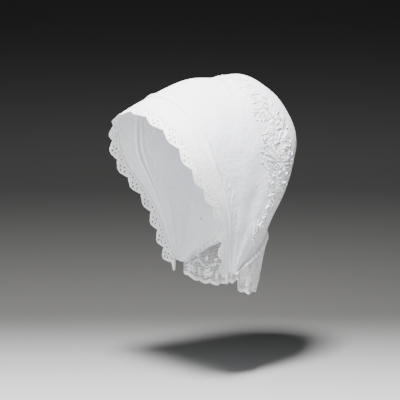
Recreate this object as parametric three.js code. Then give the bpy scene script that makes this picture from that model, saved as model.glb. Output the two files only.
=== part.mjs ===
// A bonnet of fine white cotton, as it stands when worn. Millimetres, +Z up, the face opening toward -Y.
// The origin is the inside of the crown, where it rests on the head.
import * as THREE from 'three';

// Driving dimensions.
const crownReach = 250;     // from the line between the ear corners up to the top of the crown
const crownHalf = 80;       // half the width over the ears
const cornerHalf = 60;      // half the distance between the two ear corners
const cornerEdge = 14;      // the blunt lower edge of the cloth at each ear corner
const clothWall = 1.4;      // the crown, the band and the casing
const laceWall = 1.2;       // both laces
const seam = 0.3;           // the gap at each sewn joint
const tuckRise = 1.8;       // how far the tuck stands proud of the band
const foldRise = 3.2;       // the deepest soft fold of the crown
const bowBack = 12.5;       // how far the sides of the face opening are drawn back beside the cheeks
const casingPuff = 1.3;     // how far the gathered casing bulges
const gatherRise = 0.9;     // the ripple of the gathers at the neck
const gatherPitch = 21;     // from one gather to the next
const laceWidth = 16.5;     // front lace, from its seam to the tip of a scallop
const scallopDepth = 8;     // from the tip of a scallop back to the notch, at the ear corners
const scallopTop = 5.5;     // the same over the forehead
const scallopPitch = 28.5;  // from notch to notch on average
const scallopCrowd = 0.14;  // how much wider the scallops are over the forehead, as a share
const eyeletBore = 2.5;     // a hole of the front lace
const tailLength = 13;      // the loose end of the front lace below the ear corner
const tailWidth = 3.5;
const flounceDrop = 65;     // neck lace at the nape, from its seam to the hem
const flounceSide = 15;     // neck lace at the ear corners
const flounceLean = 18;     // how far its hem leans in toward the neck
const fluteRise = 3.2;      // the waves of its hem
const flutePitch = 30;
const hemPitch = 15;        // its small scallops
const hemDepth = 2.6;

// The crown is a fan of arches. Each arch rises from one ear corner over the head to the other, in a
// plane turned about the line between the corners. turn is in degrees, forward negative; reach is a
// share of crownReach, half of crownHalf, root of cornerEdge; leg is the share of the reach over
// which the side of the arch is nearly straight.
const arches = [
  { turn: -25, reach: 0.916, half: 1.085, leg: 0.620, root: -0.50 },
  { turn: -15, reach: 0.944, half: 1.020, leg: 0.596, root: -0.18 },
  { turn: -5, reach: 0.974, half: 0.992, leg: 0.584, root: -0.12 },
  { turn: 4, reach: 0.984, half: 0.981, leg: 0.582, root: -0.06 },
  { turn: 12, reach: 1.020, half: 0.968, leg: 0.586, root: 0.00 },
  { turn: 20, reach: 0.999, half: 0.944, leg: 0.594, root: 0.06 },
  { turn: 28, reach: 0.951, half: 0.897, leg: 0.580, root: 0.12 },
  { turn: 36, reach: 0.867, half: 0.822, leg: 0.515, root: 0.17 },
  { turn: 43, reach: 0.664, half: 0.730, leg: 0.345, root: 0.22 },
  { turn: 50, reach: 0.490, half: 0.692, leg: 0.225, root: 0.27 },
  { turn: 57, reach: 0.402, half: 0.700, leg: 0.150, root: 0.32 },
  { turn: 63, reach: 0.362, half: 0.712, leg: 0.130, root: 0.50 },
];
const laceTurn = -25;       // the seam of the front lace
const tuckTurn = -18.6;     // the front edge of the tuck
const bandTurn = -15;       // the seam between the band and the crown
const casingTurn = 57;      // the seam between the crown and the casing
const neckTurn = 63;        // the neck edge
const seatTurn = -9.4;      // the arch that passes over the seat on the head
const cornerSlope = -27;    // the slope of the blunt corner edge, degrees
const bowTurn = 5;          // the drawing back of the opening ends here
const bowPlace = 0.72;      // where along the arch it is deepest, 0 at the top and 1 at the corner
const bowReach = 0.30;      // how far along the arch it runs to either side

// Soft folds of the crown. turn is where the fold lies, wide its width in degrees; from and to are
// how far along the arch it runs, 0 at the top and 1 at the corner; rise is a share of foldRise.
const folds = [
  { turn: 2, wide: 5, from: 0.55, to: 1.02, rise: 0.55 },
  { turn: 12, wide: 5, from: 0.52, to: 1.02, rise: -0.60 },
  { turn: 21, wide: 5, from: 0.50, to: 1.02, rise: 0.75 },
  { turn: 31, wide: 6, from: 0.46, to: 1.02, rise: -0.55 },
  { turn: 41, wide: 6, from: 0.40, to: 1.00, rise: 0.50 },
  { turn: 16, wide: 4, from: -0.20, to: 0.26, rise: 0.70 },
  { turn: 6, wide: 5, from: -0.22, to: 0.22, rise: -0.50 },
  { turn: 30, wide: 5, from: -0.14, to: 0.20, rise: -0.45 },
];
// Eyelets of one scallop: along is a share of the pitch, across of laceWidth, bore of eyeletBore.
const eyelets = [
  { along: 0.50, across: 0.78, bore: 1.20 },
  { along: 0.33, across: 0.56, bore: 1.00 },
  { along: 0.67, across: 0.56, bore: 1.00 },
  { along: 0.50, across: 0.36, bore: 1.00 },
  { along: 0.12, across: 0.24, bore: 0.85 },
];

const rad = THREE.MathUtils.degToRad;
const lerp = THREE.MathUtils.lerp;
const clamp = THREE.MathUtils.clamp;

// The value of one column of the arch table at a turn, on a smooth curve through the rows.
function column(name, turn) {
  const last = arches.length - 1;
  const t = clamp(turn, arches[0].turn, arches[last].turn);
  const i = clamp(arches.findIndex((row) => row.turn > t) - 1, 0, last - 1);
  const k = t >= arches[last].turn ? last - 1 : i;
  const slope = (j) => {
    const a = arches[Math.max(j - 1, 0)];
    const b = arches[Math.min(j + 1, last)];
    return (b[name] - a[name]) / (b.turn - a.turn);
  };
  const [a, b] = [arches[k], arches[k + 1]];
  const h = b.turn - a.turn;
  const u = (t - a.turn) / h;
  return (1 + 2 * u) * (1 - u) ** 2 * a[name] + u * (1 - u) ** 2 * h * slope(k)
    + u * u * (3 - 2 * u) * b[name] + u * u * (u - 1) * h * slope(k + 1);
}

// The size of one arch: its reach, half width, straight leg and the length from top to corner.
function arch(turn) {
  const reach = crownReach * column('reach', turn);
  const half = crownHalf * column('half', turn);
  const leg = reach * column('leg', turn);
  const rise = reach - leg;
  const sum = half + rise;
  const quarter = Math.PI / 4 * (3 * sum - Math.sqrt((3 * half + rise) * (half + 3 * rise)));
  return { reach, half, leg, rise, quarter, length: leg + quarter };
}

// The ear corners lie where they put the top of the seat's arch at the origin.
const seatReach = crownReach * column('reach', seatTurn);
const seatRoot = cornerEdge * column('root', seatTurn);
const cornerY = -seatReach * Math.sin(rad(seatTurn)) - seatRoot * Math.cos(rad(cornerSlope));
const cornerZ = -seatReach * Math.cos(rad(seatTurn)) - seatRoot * Math.sin(rad(cornerSlope));

function bell(x) {
  return Math.abs(x) < 1 ? Math.cos(x * Math.PI / 2) ** 2 : 0;
}

// How far the cloth is drawn back beside the cheeks, most at the front edge.
function bow(turn, s) {
  const front = clamp((bowTurn - turn) / (bowTurn - laceTurn), 0, 1);
  return bowBack * front ** 2 * bell((Math.abs(s) - bowPlace) / bowReach);
}

// The point of the bare fan at a turn and a place s along the arch: 0 at the top, 1 and -1 at the corners.
function fan(turn, s) {
  const { half, leg, rise, length } = arch(turn);
  const share = leg / length;
  const v = 1 - Math.abs(s);
  const onLeg = Math.min(v / share, 1);
  const angle = Math.max((v - share) / (1 - share), 0) * Math.PI / 2;
  const x = v < share
    ? cornerHalf + (half - cornerHalf) * Math.sin(onLeg * Math.PI / 2)
    : half * Math.cos(angle);
  const radius = leg * onLeg + rise * Math.sin(angle);
  const root = cornerEdge * column('root', turn);
  const drawn = bow(turn, s);
  const [sin, cos] = [Math.sin(rad(turn)), Math.cos(rad(turn))];
  return new THREE.Vector3(
    Math.sign(s) * x,
    cornerY + root * Math.cos(rad(cornerSlope)) + radius * sin + drawn * cos,
    cornerZ + root * Math.sin(rad(cornerSlope)) + radius * cos - drawn * sin,
  );
}

// The direction square to the plane of an arch, toward the neck.
function backward(turn) {
  return new THREE.Vector3(0, Math.cos(rad(turn)), -Math.sin(rad(turn)));
}

// The outward direction of the fan.
function outward(turn, s) {
  const t = 0.5;
  const e = 0.004;
  const place = clamp(s, -1 + e, 1 - e);
  const alongTurn = fan(turn + t, place).sub(fan(turn - t, place));
  const alongArch = fan(turn, place + e).sub(fan(turn, place - e));
  return alongTurn.cross(alongArch).normalize().negate();
}

// How far the cloth stands out from the fan at a place, because of its folds and gathers.
function relief(turn, s) {
  const side = Math.abs(s);
  let out = 0;
  for (const fold of folds) {
    const middle = (fold.from + fold.to) / 2;
    const reach = (fold.to - fold.from) / 2;
    out += foldRise * fold.rise * bell((turn - fold.turn) / fold.wide) * bell((side - middle) / reach);
  }
  const nearNeck = clamp((turn - 34) / (neckTurn - 34), 0, 1);
  const waves = Math.round(arch(neckTurn).length / gatherPitch);
  return out + gatherRise * nearNeck * Math.cos(s * waves * 2 * Math.PI) * (1 - side ** 6);
}

// Closes a sheet into one solid: an inner skin, an outer skin and a wall along every free edge.
function solid(inner, outer, triangles) {
  const count = inner.length;
  const edges = new Map();
  const faces = [];
  for (const [a, b, c] of triangles) {
    faces.push([a, b, c], [c + count, b + count, a + count]);
    for (const [p, q] of [[a, b], [b, c], [c, a]]) {
      if (!edges.delete(`${q},${p}`)) {
        edges.set(`${p},${q}`, [p, q]);
      }
    }
  }
  for (const [p, q] of edges.values()) {
    faces.push([q, p, p + count], [q, p + count, q + count]);
  }
  const points = [...inner, ...outer];
  const volume = faces.reduce((sum, [a, b, c]) =>
    sum + points[a].dot(points[b].clone().cross(points[c])), 0);
  const index = faces.flatMap(([a, b, c]) => (volume > 0 ? [a, b, c] : [a, c, b]));
  const geometry = new THREE.BufferGeometry();
  geometry.setAttribute('position', new THREE.Float32BufferAttribute(points.flatMap((p) => p.toArray()), 3));
  geometry.setIndex(index);
  geometry.computeVertexNormals();
  return geometry;
}

// The triangles of a grid of points, held row after row.
function gridTriangles(rows, columns) {
  const triangles = [];
  for (let i = 0; i < rows - 1; i += 1) {
    for (let j = 0; j < columns - 1; j += 1) {
      const a = i * columns + j;
      const even = (i + j) % 2 === 0;
      triangles.push(even ? [a, a + 1, a + columns] : [a, a + 1, a + columns + 1]);
      triangles.push(even ? [a + 1, a + columns + 1, a + columns] : [a, a + columns + 1, a + columns]);
    }
  }
  return triangles;
}

// A strip of the fan between two turns. lift gives how far its outer skin is raised, 0 to 1 across.
function strip(from, to, turns, places, lift) {
  const inner = [];
  const outer = [];
  for (let i = 0; i < turns; i += 1) {
    const across = i / (turns - 1);
    const turn = lerp(from, to, across);
    const shift = i === 0 ? seam / 2 : i === turns - 1 ? -seam / 2 : 0;
    for (let j = 0; j < places; j += 1) {
      const s = lerp(-1, 1, j / (places - 1));
      const base = fan(turn, s).addScaledVector(backward(turn), shift);
      const out = outward(turn, s);
      // The first and last rows stay in the planes of their seams.
      const normal = backward(turn);
      const flat = shift === 0 ? out : out.addScaledVector(normal, -out.dot(normal)).normalize();
      const raise = relief(turn, s);
      inner.push(base.clone().addScaledVector(flat, raise));
      outer.push(base.clone().addScaledVector(flat, raise + clothWall + lift(across, s)));
    }
  }
  return solid(inner, outer, gridTriangles(turns, places));
}

const tuckStart = (tuckTurn - laceTurn) / (bandTurn - laceTurn);

// The band is smooth and then rises into the tuck along its back edge.
function bandLift(across, s) {
  const middle = (1 + tuckStart) / 2;
  const fade = 1 - 0.5 * Math.abs(s) ** 3;
  return across > tuckStart ? tuckRise * fade * bell((across - middle) / (1 - middle)) : 0;
}

const laceLength = 2 * arch(laceTurn).length;

// A point of the front lace: a along its seam from the middle, w out from the seam.
function lacePoint(a, w, lift) {
  const s = clamp(a / (laceLength / 2), -1, 1);
  const back = backward(laceTurn);
  const base = fan(laceTurn, s).addScaledVector(back, -seam / 2);
  const out = outward(laceTurn, s);
  out.addScaledVector(back, -out.dot(back)).normalize();
  const past = Math.max(Math.abs(a) - laceLength / 2, 0);
  base.y -= past * Math.sin(rad(laceTurn));
  base.z -= past * Math.cos(rad(laceTurn));
  return base.addScaledVector(back, -w).addScaledVector(out, relief(laceTurn, s) + lift);
}

// The place along the seam of a share of the scallops, -1 to 1: they are wider over the forehead.
function alongSeam(share) {
  return laceLength / 2 * share * (1 + scallopCrowd * (1 - share * share));
}

// How far the lace reaches from its seam at a share of the scallops and a place t in one scallop.
function laceReach(share, t) {
  const depth = lerp(scallopTop, scallopDepth, Math.abs(share));
  return laceWidth - depth * Math.abs(2 * t - 1) ** 1.4;
}

// The front lace, laid out flat scallop by scallop and then set round the opening.
function frontLace() {
  const scallops = 2 * Math.round(laceLength / scallopPitch / 2);
  const notch = laceWidth - scallopDepth;
  const flat = [];
  const seen = new Map();
  const triangles = [];
  const add = (p) => {
    const key = `${p.x.toFixed(3)},${p.y.toFixed(3)}`;
    if (!seen.has(key)) {
      seen.set(key, flat.length);
      flat.push(p);
    }
    return seen.get(key);
  };
  const fill = (contour, holes) => {
    const ids = [...contour, ...holes.flat()].map(add);
    for (const face of THREE.ShapeUtils.triangulateShape(contour, holes)) {
      triangles.push(face.map((k) => ids[k]));
    }
  };
  for (let n = 0; n < scallops; n += 1) {
    const share = (t) => (n + t) * 2 / scallops - 1;
    const contour = [];
    for (let k = 0; k <= 3; k += 1) {
      contour.push(new THREE.Vector2(alongSeam(share(k / 3)), 0));
    }
    for (let k = 6; k >= 0; k -= 1) {
      contour.push(new THREE.Vector2(alongSeam(share(k / 6)), laceReach(share(k / 6), k / 6)));
    }
    const holes = eyelets.map(({ along, across, bore }) => {
      const ring = [];
      for (let k = 0; k < 6; k += 1) {
        const turn = -k * Math.PI / 3;
        ring.push(new THREE.Vector2(
          alongSeam(share(along)) + eyeletBore * bore / 2 * Math.cos(turn),
          laceWidth * across + eyeletBore * bore / 2 * Math.sin(turn),
        ));
      }
      return ring;
    });
    fill(contour, holes);
  }
  for (const side of [-1, 1]) {
    const end = side * laceLength / 2;
    const contour = [
      new THREE.Vector2(end, 0),
      new THREE.Vector2(end, notch),
      new THREE.Vector2(end + side * tailLength * 0.35, notch * 0.95),
      new THREE.Vector2(end + side * tailLength, notch + tailWidth * 0.5),
      new THREE.Vector2(end + side * tailLength, notch - tailWidth * 0.5),
      new THREE.Vector2(end + side * tailLength * 0.45, notch * 0.3),
    ];
    fill(side > 0 ? contour.reverse() : contour, []);
  }
  const inner = flat.map((p) => lacePoint(p.x, p.y, 0));
  const outer = flat.map((p) => lacePoint(p.x, p.y, laceWall));
  return solid(inner, outer, triangles);
}

// A point of the neck lace: s along the neck edge, q down from its seam to the hem.
function flouncePoint(s, q, lift) {
  const back = backward(neckTurn);
  const out = outward(neckTurn, s);
  out.addScaledVector(back, -out.dot(back)).normalize();
  const level = new THREE.Vector3(out.x, out.y, 0).normalize();
  const length = 2 * arch(neckTurn).length;
  const flutes = Math.round(length / flutePitch);
  const hems = Math.round(length / hemPitch);
  const centre = 1 - s * s;
  const drop = lerp(flounceSide, flounceDrop, Math.sin(centre * Math.PI / 2) ** 1.1);
  const hem = hemDepth * (1 - Math.abs(Math.cos(s * hems * Math.PI / 2))) * q ** 4;
  const wave = fluteRise * q * Math.cos(s * flutes * Math.PI) * Math.min(1, drop / flounceDrop + 0.3);
  const point = fan(neckTurn, s).addScaledVector(back, seam / 2);
  point.addScaledVector(out, relief(neckTurn, s) + lift);
  point.addScaledVector(level, wave - flounceLean * centre * q ** 1.3);
  point.z -= drop * q - hem;
  return point;
}

function neckLace() {
  const rows = 6;
  const columns = 73;
  const inner = [];
  const outer = [];
  for (let i = 0; i < rows; i += 1) {
    for (let j = 0; j < columns; j += 1) {
      const s = lerp(-0.985, 0.985, j / (columns - 1));
      const q = i / (rows - 1);
      inner.push(flouncePoint(s, q, 0));
      outer.push(flouncePoint(s, q, laceWall));
    }
  }
  return solid(inner, outer, gridTriangles(rows, columns));
}

function cloth(colour, roughness) {
  return new THREE.MeshStandardMaterial({ color: colour, roughness, metalness: 0 });
}

const bonnet = new THREE.Group();

function piece(name, geometry, material) {
  const mesh = new THREE.Mesh(geometry, material);
  mesh.name = name;
  bonnet.add(mesh);
}

piece('crown', strip(bandTurn, casingTurn, 28, 41, () => 0), cloth('#eceef2', 0.9));
piece('front_band', strip(laceTurn, bandTurn, 7, 41, bandLift), cloth('#f4f5f7', 0.88));
piece('front_lace', frontLace(), cloth('#f6f7f8', 0.9));
piece('neck_casing', strip(casingTurn, neckTurn, 4, 57,
  (across) => casingPuff * bell(across * 2 - 1)), cloth('#f1f2f5', 0.9));
piece('neck_lace', neckLace(), cloth('#e6e8ea', 0.92));

export default bonnet;
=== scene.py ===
import logging
import math
from dataclasses import dataclass
from enum import Enum

import bpy
import numpy as np
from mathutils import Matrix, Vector
from mathutils.geometry import delaunay_2d_cdt


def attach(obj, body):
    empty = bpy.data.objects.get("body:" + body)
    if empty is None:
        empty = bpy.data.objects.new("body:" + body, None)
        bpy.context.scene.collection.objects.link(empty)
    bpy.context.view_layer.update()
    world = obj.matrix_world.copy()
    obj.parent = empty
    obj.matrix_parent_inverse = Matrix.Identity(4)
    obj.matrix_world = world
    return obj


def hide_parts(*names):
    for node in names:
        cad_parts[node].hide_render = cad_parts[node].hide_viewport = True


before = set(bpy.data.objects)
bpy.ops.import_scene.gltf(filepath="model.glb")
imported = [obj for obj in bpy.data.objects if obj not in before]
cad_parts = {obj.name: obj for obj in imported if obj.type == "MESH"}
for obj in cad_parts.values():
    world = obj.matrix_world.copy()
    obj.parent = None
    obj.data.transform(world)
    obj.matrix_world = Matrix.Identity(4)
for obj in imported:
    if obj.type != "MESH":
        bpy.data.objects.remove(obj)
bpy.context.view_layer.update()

LOG = logging.getLogger("bonnet")
MM = 0.001
BODY = "root"


@dataclass
class Patch:
    """One surface: its points, its faces and each point's place on the cloth in millimetres."""

    points: np.ndarray
    faces: list[np.ndarray]
    uv: np.ndarray


class Hold(Enum):
    """How a sheet of cloth is held."""

    GATHERED = "gathered"
    STRETCHED = "stretched"
    HUNG = "hung"


def grid_faces(rows: int, columns: int, wrap: bool = False) -> np.ndarray:
    """Quads of a grid of points held row after row.

    Args:
        rows: number of rows.
        columns: number of points in a row.
        wrap: join the last column to the first.

    Returns:
        An array of quads.
    """
    i, j = np.meshgrid(np.arange(rows - 1), np.arange(columns if wrap else columns - 1), indexing="ij")
    k = (j + 1) % columns
    quads = np.stack([i * columns + j, i * columns + k, (i + 1) * columns + k, (i + 1) * columns + j], -1)
    return quads.reshape(-1, 4)


def signed_volume(points: np.ndarray, faces: list[np.ndarray]) -> float:
    """Six times the volume that closed faces enclose, positive where they point outward."""
    total = 0.0
    for block in faces:
        corner = points[block]
        for k in range(1, block.shape[1] - 1):
            total += float(np.einsum("ij,ij->", corner[:, 0], np.cross(corner[:, k], corner[:, k + 1])))
    return total


def face_outward(patch: Patch, outward: np.ndarray | None = None) -> Patch:
    """Turns a patch so that its faces point outward.

    Args:
        patch: the surface.
        outward: a direction for each point of an open sheet; None for closed shapes.

    Returns:
        The same patch, its faces reversed where they pointed inward.
    """
    if outward is None:
        wrong = signed_volume(patch.points - patch.points.mean(0), patch.faces) < 0
    else:
        block = patch.faces[0]
        corner = patch.points[block]
        normal = np.cross(corner[:, 1] - corner[:, 0], corner[:, 2] - corner[:, 0])
        wrong = float(np.einsum("ij,ij->", normal, outward[block[:, 0]])) < 0
    if wrong:
        patch.faces = [block[:, ::-1] for block in patch.faces]
    return patch


def join(patches: list[Patch]) -> Patch:
    """Puts several patches into one, without merging their points."""
    start = np.cumsum([0] + [len(patch.points) for patch in patches])
    faces = [block + start[k] for k, patch in enumerate(patches) for block in patch.faces]
    return Patch(
        np.concatenate([patch.points for patch in patches]),
        faces,
        np.concatenate([patch.uv for patch in patches]),
    )


def mesh_object(name: str, patch: Patch, material: bpy.types.Material) -> bpy.types.Object:
    """Makes a Blender object of a patch, smooth, with its place on the cloth as the UV map.

    Args:
        name: the object's name.
        patch: the surface, its points in metres.
        material: the finish.

    Returns:
        The new object, at the origin.
    """
    loops = np.concatenate([block.reshape(-1) for block in patch.faces]).astype(np.int32)
    sizes = np.concatenate([np.full(len(block), block.shape[1]) for block in patch.faces])
    starts = np.concatenate([[0], np.cumsum(sizes)[:-1]]).astype(np.int32)
    mesh = bpy.data.meshes.new(name)
    mesh.vertices.add(len(patch.points))
    mesh.vertices.foreach_set("co", patch.points.astype(np.float32).ravel())
    mesh.loops.add(len(loops))
    mesh.loops.foreach_set("vertex_index", loops)
    mesh.polygons.add(len(sizes))
    mesh.polygons.foreach_set("loop_start", starts)
    mesh.polygons.foreach_set("use_smooth", np.ones(len(sizes), dtype=bool))
    mesh.update(calc_edges=True)
    layer = mesh.uv_layers.new(name="cloth")
    layer.data.foreach_set("uv", (patch.uv[loops] * 0.1).astype(np.float32).ravel())
    mesh.validate()
    mesh.materials.append(material)
    piece = bpy.data.objects.new(name, mesh)
    bpy.context.scene.collection.objects.link(piece)
    return piece


def thicken(piece: bpy.types.Object, thickness: float) -> None:
    """Gives a sheet its wall, inward from the faces it has."""
    wall = piece.modifiers.new("wall", "SOLIDIFY")
    wall.thickness = thickness
    wall.offset = -1.0
    wall.use_even_offset = False


def hand_over(piece: bpy.types.Object, node: str | None = None) -> None:
    """Makes a piece ride on the body, hides the solid part that it stands for, and logs it."""
    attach(piece, BODY)
    if node is not None:
        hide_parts(node)
    LOG.info("%s: %d faces", piece.name, len(piece.data.polygons))


@dataclass(frozen=True)
class FanSizes:
    """The named sizes of the cap, in metres, the same as those of its solid model."""

    crown_reach: float = 0.250
    crown_half: float = 0.080
    corner_half: float = 0.060
    corner_edge: float = 0.014
    corner_slope: float = -27.0
    fold_rise: float = 0.0032
    gather_rise: float = 0.0009
    gather_pitch: float = 0.021
    lace_turn: float = -25.0
    tuck_turn: float = -18.6
    band_turn: float = -15.0
    casing_turn: float = 57.0
    neck_turn: float = 63.0
    seat_turn: float = -9.4
    bow_back: float = 0.0125
    bow_turn: float = 5.0
    bow_place: float = 0.72
    bow_reach: float = 0.30


class Fan:
    """The shape under the cloth: a fan of arches that rise from one ear corner over the head to the other.

    A place on it is a turn, the angle of the arch's plane about the line between the ear corners in
    degrees, and s, from -1 at the right corner over 0 at the top to 1 at the left corner.
    """

    TURN = np.array([-25, -15, -5, 4, 12, 20, 28, 36, 43, 50, 57, 63], dtype=float)
    REACH = np.array([0.916, 0.944, 0.974, 0.984, 1.020, 0.999, 0.951, 0.867, 0.664, 0.490, 0.402, 0.362])
    HALF = np.array([1.085, 1.020, 0.992, 0.981, 0.968, 0.944, 0.897, 0.822, 0.730, 0.692, 0.700, 0.712])
    LEG = np.array([0.620, 0.596, 0.584, 0.582, 0.586, 0.594, 0.580, 0.515, 0.345, 0.225, 0.150, 0.130])
    ROOT = np.array([-0.50, -0.18, -0.12, -0.06, 0.00, 0.06, 0.12, 0.17, 0.22, 0.27, 0.32, 0.50])
    FOLDS = np.array([
        [2, 5, 0.55, 1.02, 0.55],
        [12, 5, 0.52, 1.02, -0.60],
        [21, 5, 0.50, 1.02, 0.75],
        [31, 6, 0.46, 1.02, -0.55],
        [41, 6, 0.40, 1.00, 0.50],
        [16, 4, -0.20, 0.26, 0.70],
        [6, 5, -0.22, 0.22, -0.50],
        [30, 5, -0.14, 0.20, -0.45],
    ])

    def __init__(self, sizes: FanSizes) -> None:
        """Works out where the ear corners lie, so that the inside of the top is at the origin."""
        self.sizes = sizes
        turn = math.radians(sizes.seat_turn)
        slope = math.radians(sizes.corner_slope)
        reach = sizes.crown_reach * float(self.column(self.REACH, np.array(sizes.seat_turn)))
        root = sizes.corner_edge * float(self.column(self.ROOT, np.array(sizes.seat_turn)))
        self.corner_y = -reach * math.sin(turn) - root * math.cos(slope)
        self.corner_z = -reach * math.cos(turn) - root * math.sin(slope)

    def column(self, values: np.ndarray, turn: np.ndarray) -> np.ndarray:
        """One column of the arch table at given turns, on a smooth cubic through its rows."""
        last = len(self.TURN) - 1
        before = np.maximum(np.arange(last + 1) - 1, 0)
        after = np.minimum(np.arange(last + 1) + 1, last)
        slope = (values[after] - values[before]) / (self.TURN[after] - self.TURN[before])
        t = np.clip(turn, self.TURN[0], self.TURN[-1])
        k = np.clip(np.searchsorted(self.TURN, t, side="right") - 1, 0, last - 1)
        step = self.TURN[k + 1] - self.TURN[k]
        u = (t - self.TURN[k]) / step
        return (
            (1 + 2 * u) * (1 - u) ** 2 * values[k]
            + u * (1 - u) ** 2 * step * slope[k]
            + u * u * (3 - 2 * u) * values[k + 1]
            + u * u * (u - 1) * step * slope[k + 1]
        )

    def arch(self, turn: np.ndarray) -> tuple[np.ndarray, ...]:
        """Half width, straight leg, rise above it, and length from top to corner of the arch at a turn."""
        reach = self.sizes.crown_reach * self.column(self.REACH, turn)
        half = self.sizes.crown_half * self.column(self.HALF, turn)
        leg = reach * self.column(self.LEG, turn)
        rise = reach - leg
        quarter = math.pi / 4 * (3 * (half + rise) - np.sqrt((3 * half + rise) * (half + 3 * rise)))
        return half, leg, rise, leg + quarter

    def length(self, turn: float) -> float:
        """The length of an arch from the top to one corner, in metres."""
        return float(self.arch(np.array(turn))[3])

    def bow(self, turn: np.ndarray, s: np.ndarray) -> np.ndarray:
        """How far the cloth is drawn back beside the cheeks, most at the front edge."""
        sizes = self.sizes
        front = np.clip((sizes.bow_turn - turn) / (sizes.bow_turn - sizes.lace_turn), 0, 1)
        return sizes.bow_back * front**2 * bell((np.abs(s) - sizes.bow_place) / sizes.bow_reach)

    def point(self, turn: np.ndarray, s: np.ndarray) -> np.ndarray:
        """Points of the bare fan: a nearly straight leg from the corner, then a quarter of an ellipse."""
        turn, s = np.broadcast_arrays(np.asarray(turn, float), np.asarray(s, float))
        half, leg, rise, length = self.arch(turn)
        share = leg / length
        v = 1 - np.abs(s)
        on_leg = np.minimum(v / share, 1)
        angle = np.maximum((v - share) / (1 - share), 0) * math.pi / 2
        corner = self.sizes.corner_half
        on_side = corner + (half - corner) * np.sin(on_leg * math.pi / 2)
        x = np.where(v < share, on_side, half * np.cos(angle))
        radius = leg * on_leg + rise * np.sin(angle)
        root = self.sizes.corner_edge * self.column(self.ROOT, turn)
        slope = math.radians(self.sizes.corner_slope)
        a = np.radians(turn)
        drawn = self.bow(turn, s)
        return np.stack(
            [
                np.sign(s) * x,
                self.corner_y + root * math.cos(slope) + radius * np.sin(a) + drawn * np.cos(a),
                self.corner_z + root * math.sin(slope) + radius * np.cos(a) - drawn * np.sin(a),
            ],
            -1,
        )

    def radius(self, turn: np.ndarray, s: np.ndarray) -> np.ndarray:
        """The distance from the line between the ear corners, in metres."""
        point = self.point(turn, s)
        return np.hypot(point[..., 1] - self.corner_y, point[..., 2] - self.corner_z)

    def outward(self, turn: np.ndarray, s: np.ndarray) -> np.ndarray:
        """The outward direction of the fan, square to its two tangents."""
        e = 0.004
        place = np.clip(s, -1 + e, 1 - e)
        along_turn = self.point(turn + 0.5, place) - self.point(turn - 0.5, place)
        along_arch = self.point(turn, place + e) - self.point(turn, place - e)
        normal = -np.cross(along_turn, along_arch)
        return normal / (np.linalg.norm(normal, axis=-1, keepdims=True) + 1e-12)

    def backward(self, turn: float) -> np.ndarray:
        """The direction square to the plane of an arch, toward the neck."""
        a = math.radians(turn)
        return np.array([0.0, math.cos(a), -math.sin(a)])

    def relief(self, turn: np.ndarray, s: np.ndarray) -> np.ndarray:
        """How far the soft folds and gathers of the solid model stand out from the fan, in metres."""
        side = np.abs(s)
        out = np.zeros(np.broadcast(turn, s).shape)
        for centre, wide, start, end, rise in self.FOLDS:
            across = bell((turn - centre) / wide)
            along = bell((side - (start + end) / 2) / ((end - start) / 2))
            out = out + self.sizes.fold_rise * rise * across * along
        near = np.clip((turn - 34) / (self.sizes.neck_turn - 34), 0, 1)
        waves = round(self.length(self.sizes.neck_turn) / self.sizes.gather_pitch)
        return out + self.sizes.gather_rise * near * np.cos(s * waves * 2 * math.pi) * (1 - side**6)


def bell(x: np.ndarray) -> np.ndarray:
    """A smooth bump: the square of a cosine between -1 and 1, and nothing outside."""
    return np.where(np.abs(x) < 1, np.cos(np.clip(x, -1, 1) * math.pi / 2) ** 2, 0.0)


def window(width: int) -> np.ndarray:
    """The weights of a soft running mean over an odd number of values, with a sum of one."""
    weights = np.hanning(width)
    return weights / weights.sum()


def smoothed(values: np.ndarray, weights: np.ndarray, mode: str = "edge", **how: str) -> np.ndarray:
    """A running mean with given weights, the values carried on past both ends as np.pad does."""
    return np.convolve(np.pad(values, len(weights) // 2, mode=mode, **how), weights, mode="valid")


class Creases:
    """The fine creases of worn, washed cotton, as a sum of short waves in random directions."""

    def __init__(self, seed: int, shortest: float, longest: float, rise: float) -> None:
        """Chooses the waves; lengths and rise are in metres."""
        rng = np.random.default_rng(seed)
        count = 28
        lengths = np.geomspace(shortest, longest, count)
        direction = rng.normal(size=(count, 3))
        direction /= np.linalg.norm(direction, axis=1, keepdims=True)
        self.wave = direction * (2 * math.pi / lengths)[:, None]
        self.phase = rng.uniform(0, 2 * math.pi, count)
        self.rise = rise * lengths / lengths.max() / math.sqrt(count)

    def height(self, points: np.ndarray) -> np.ndarray:
        """The height of the creases at points: each wave's sine, bent by another, times its rise."""
        phase = points @ self.wave.T + self.phase
        bent = np.sin(phase + 0.8 * np.sin(np.roll(phase, 3, axis=-1) * 0.5))
        return bent @ self.rise


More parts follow.
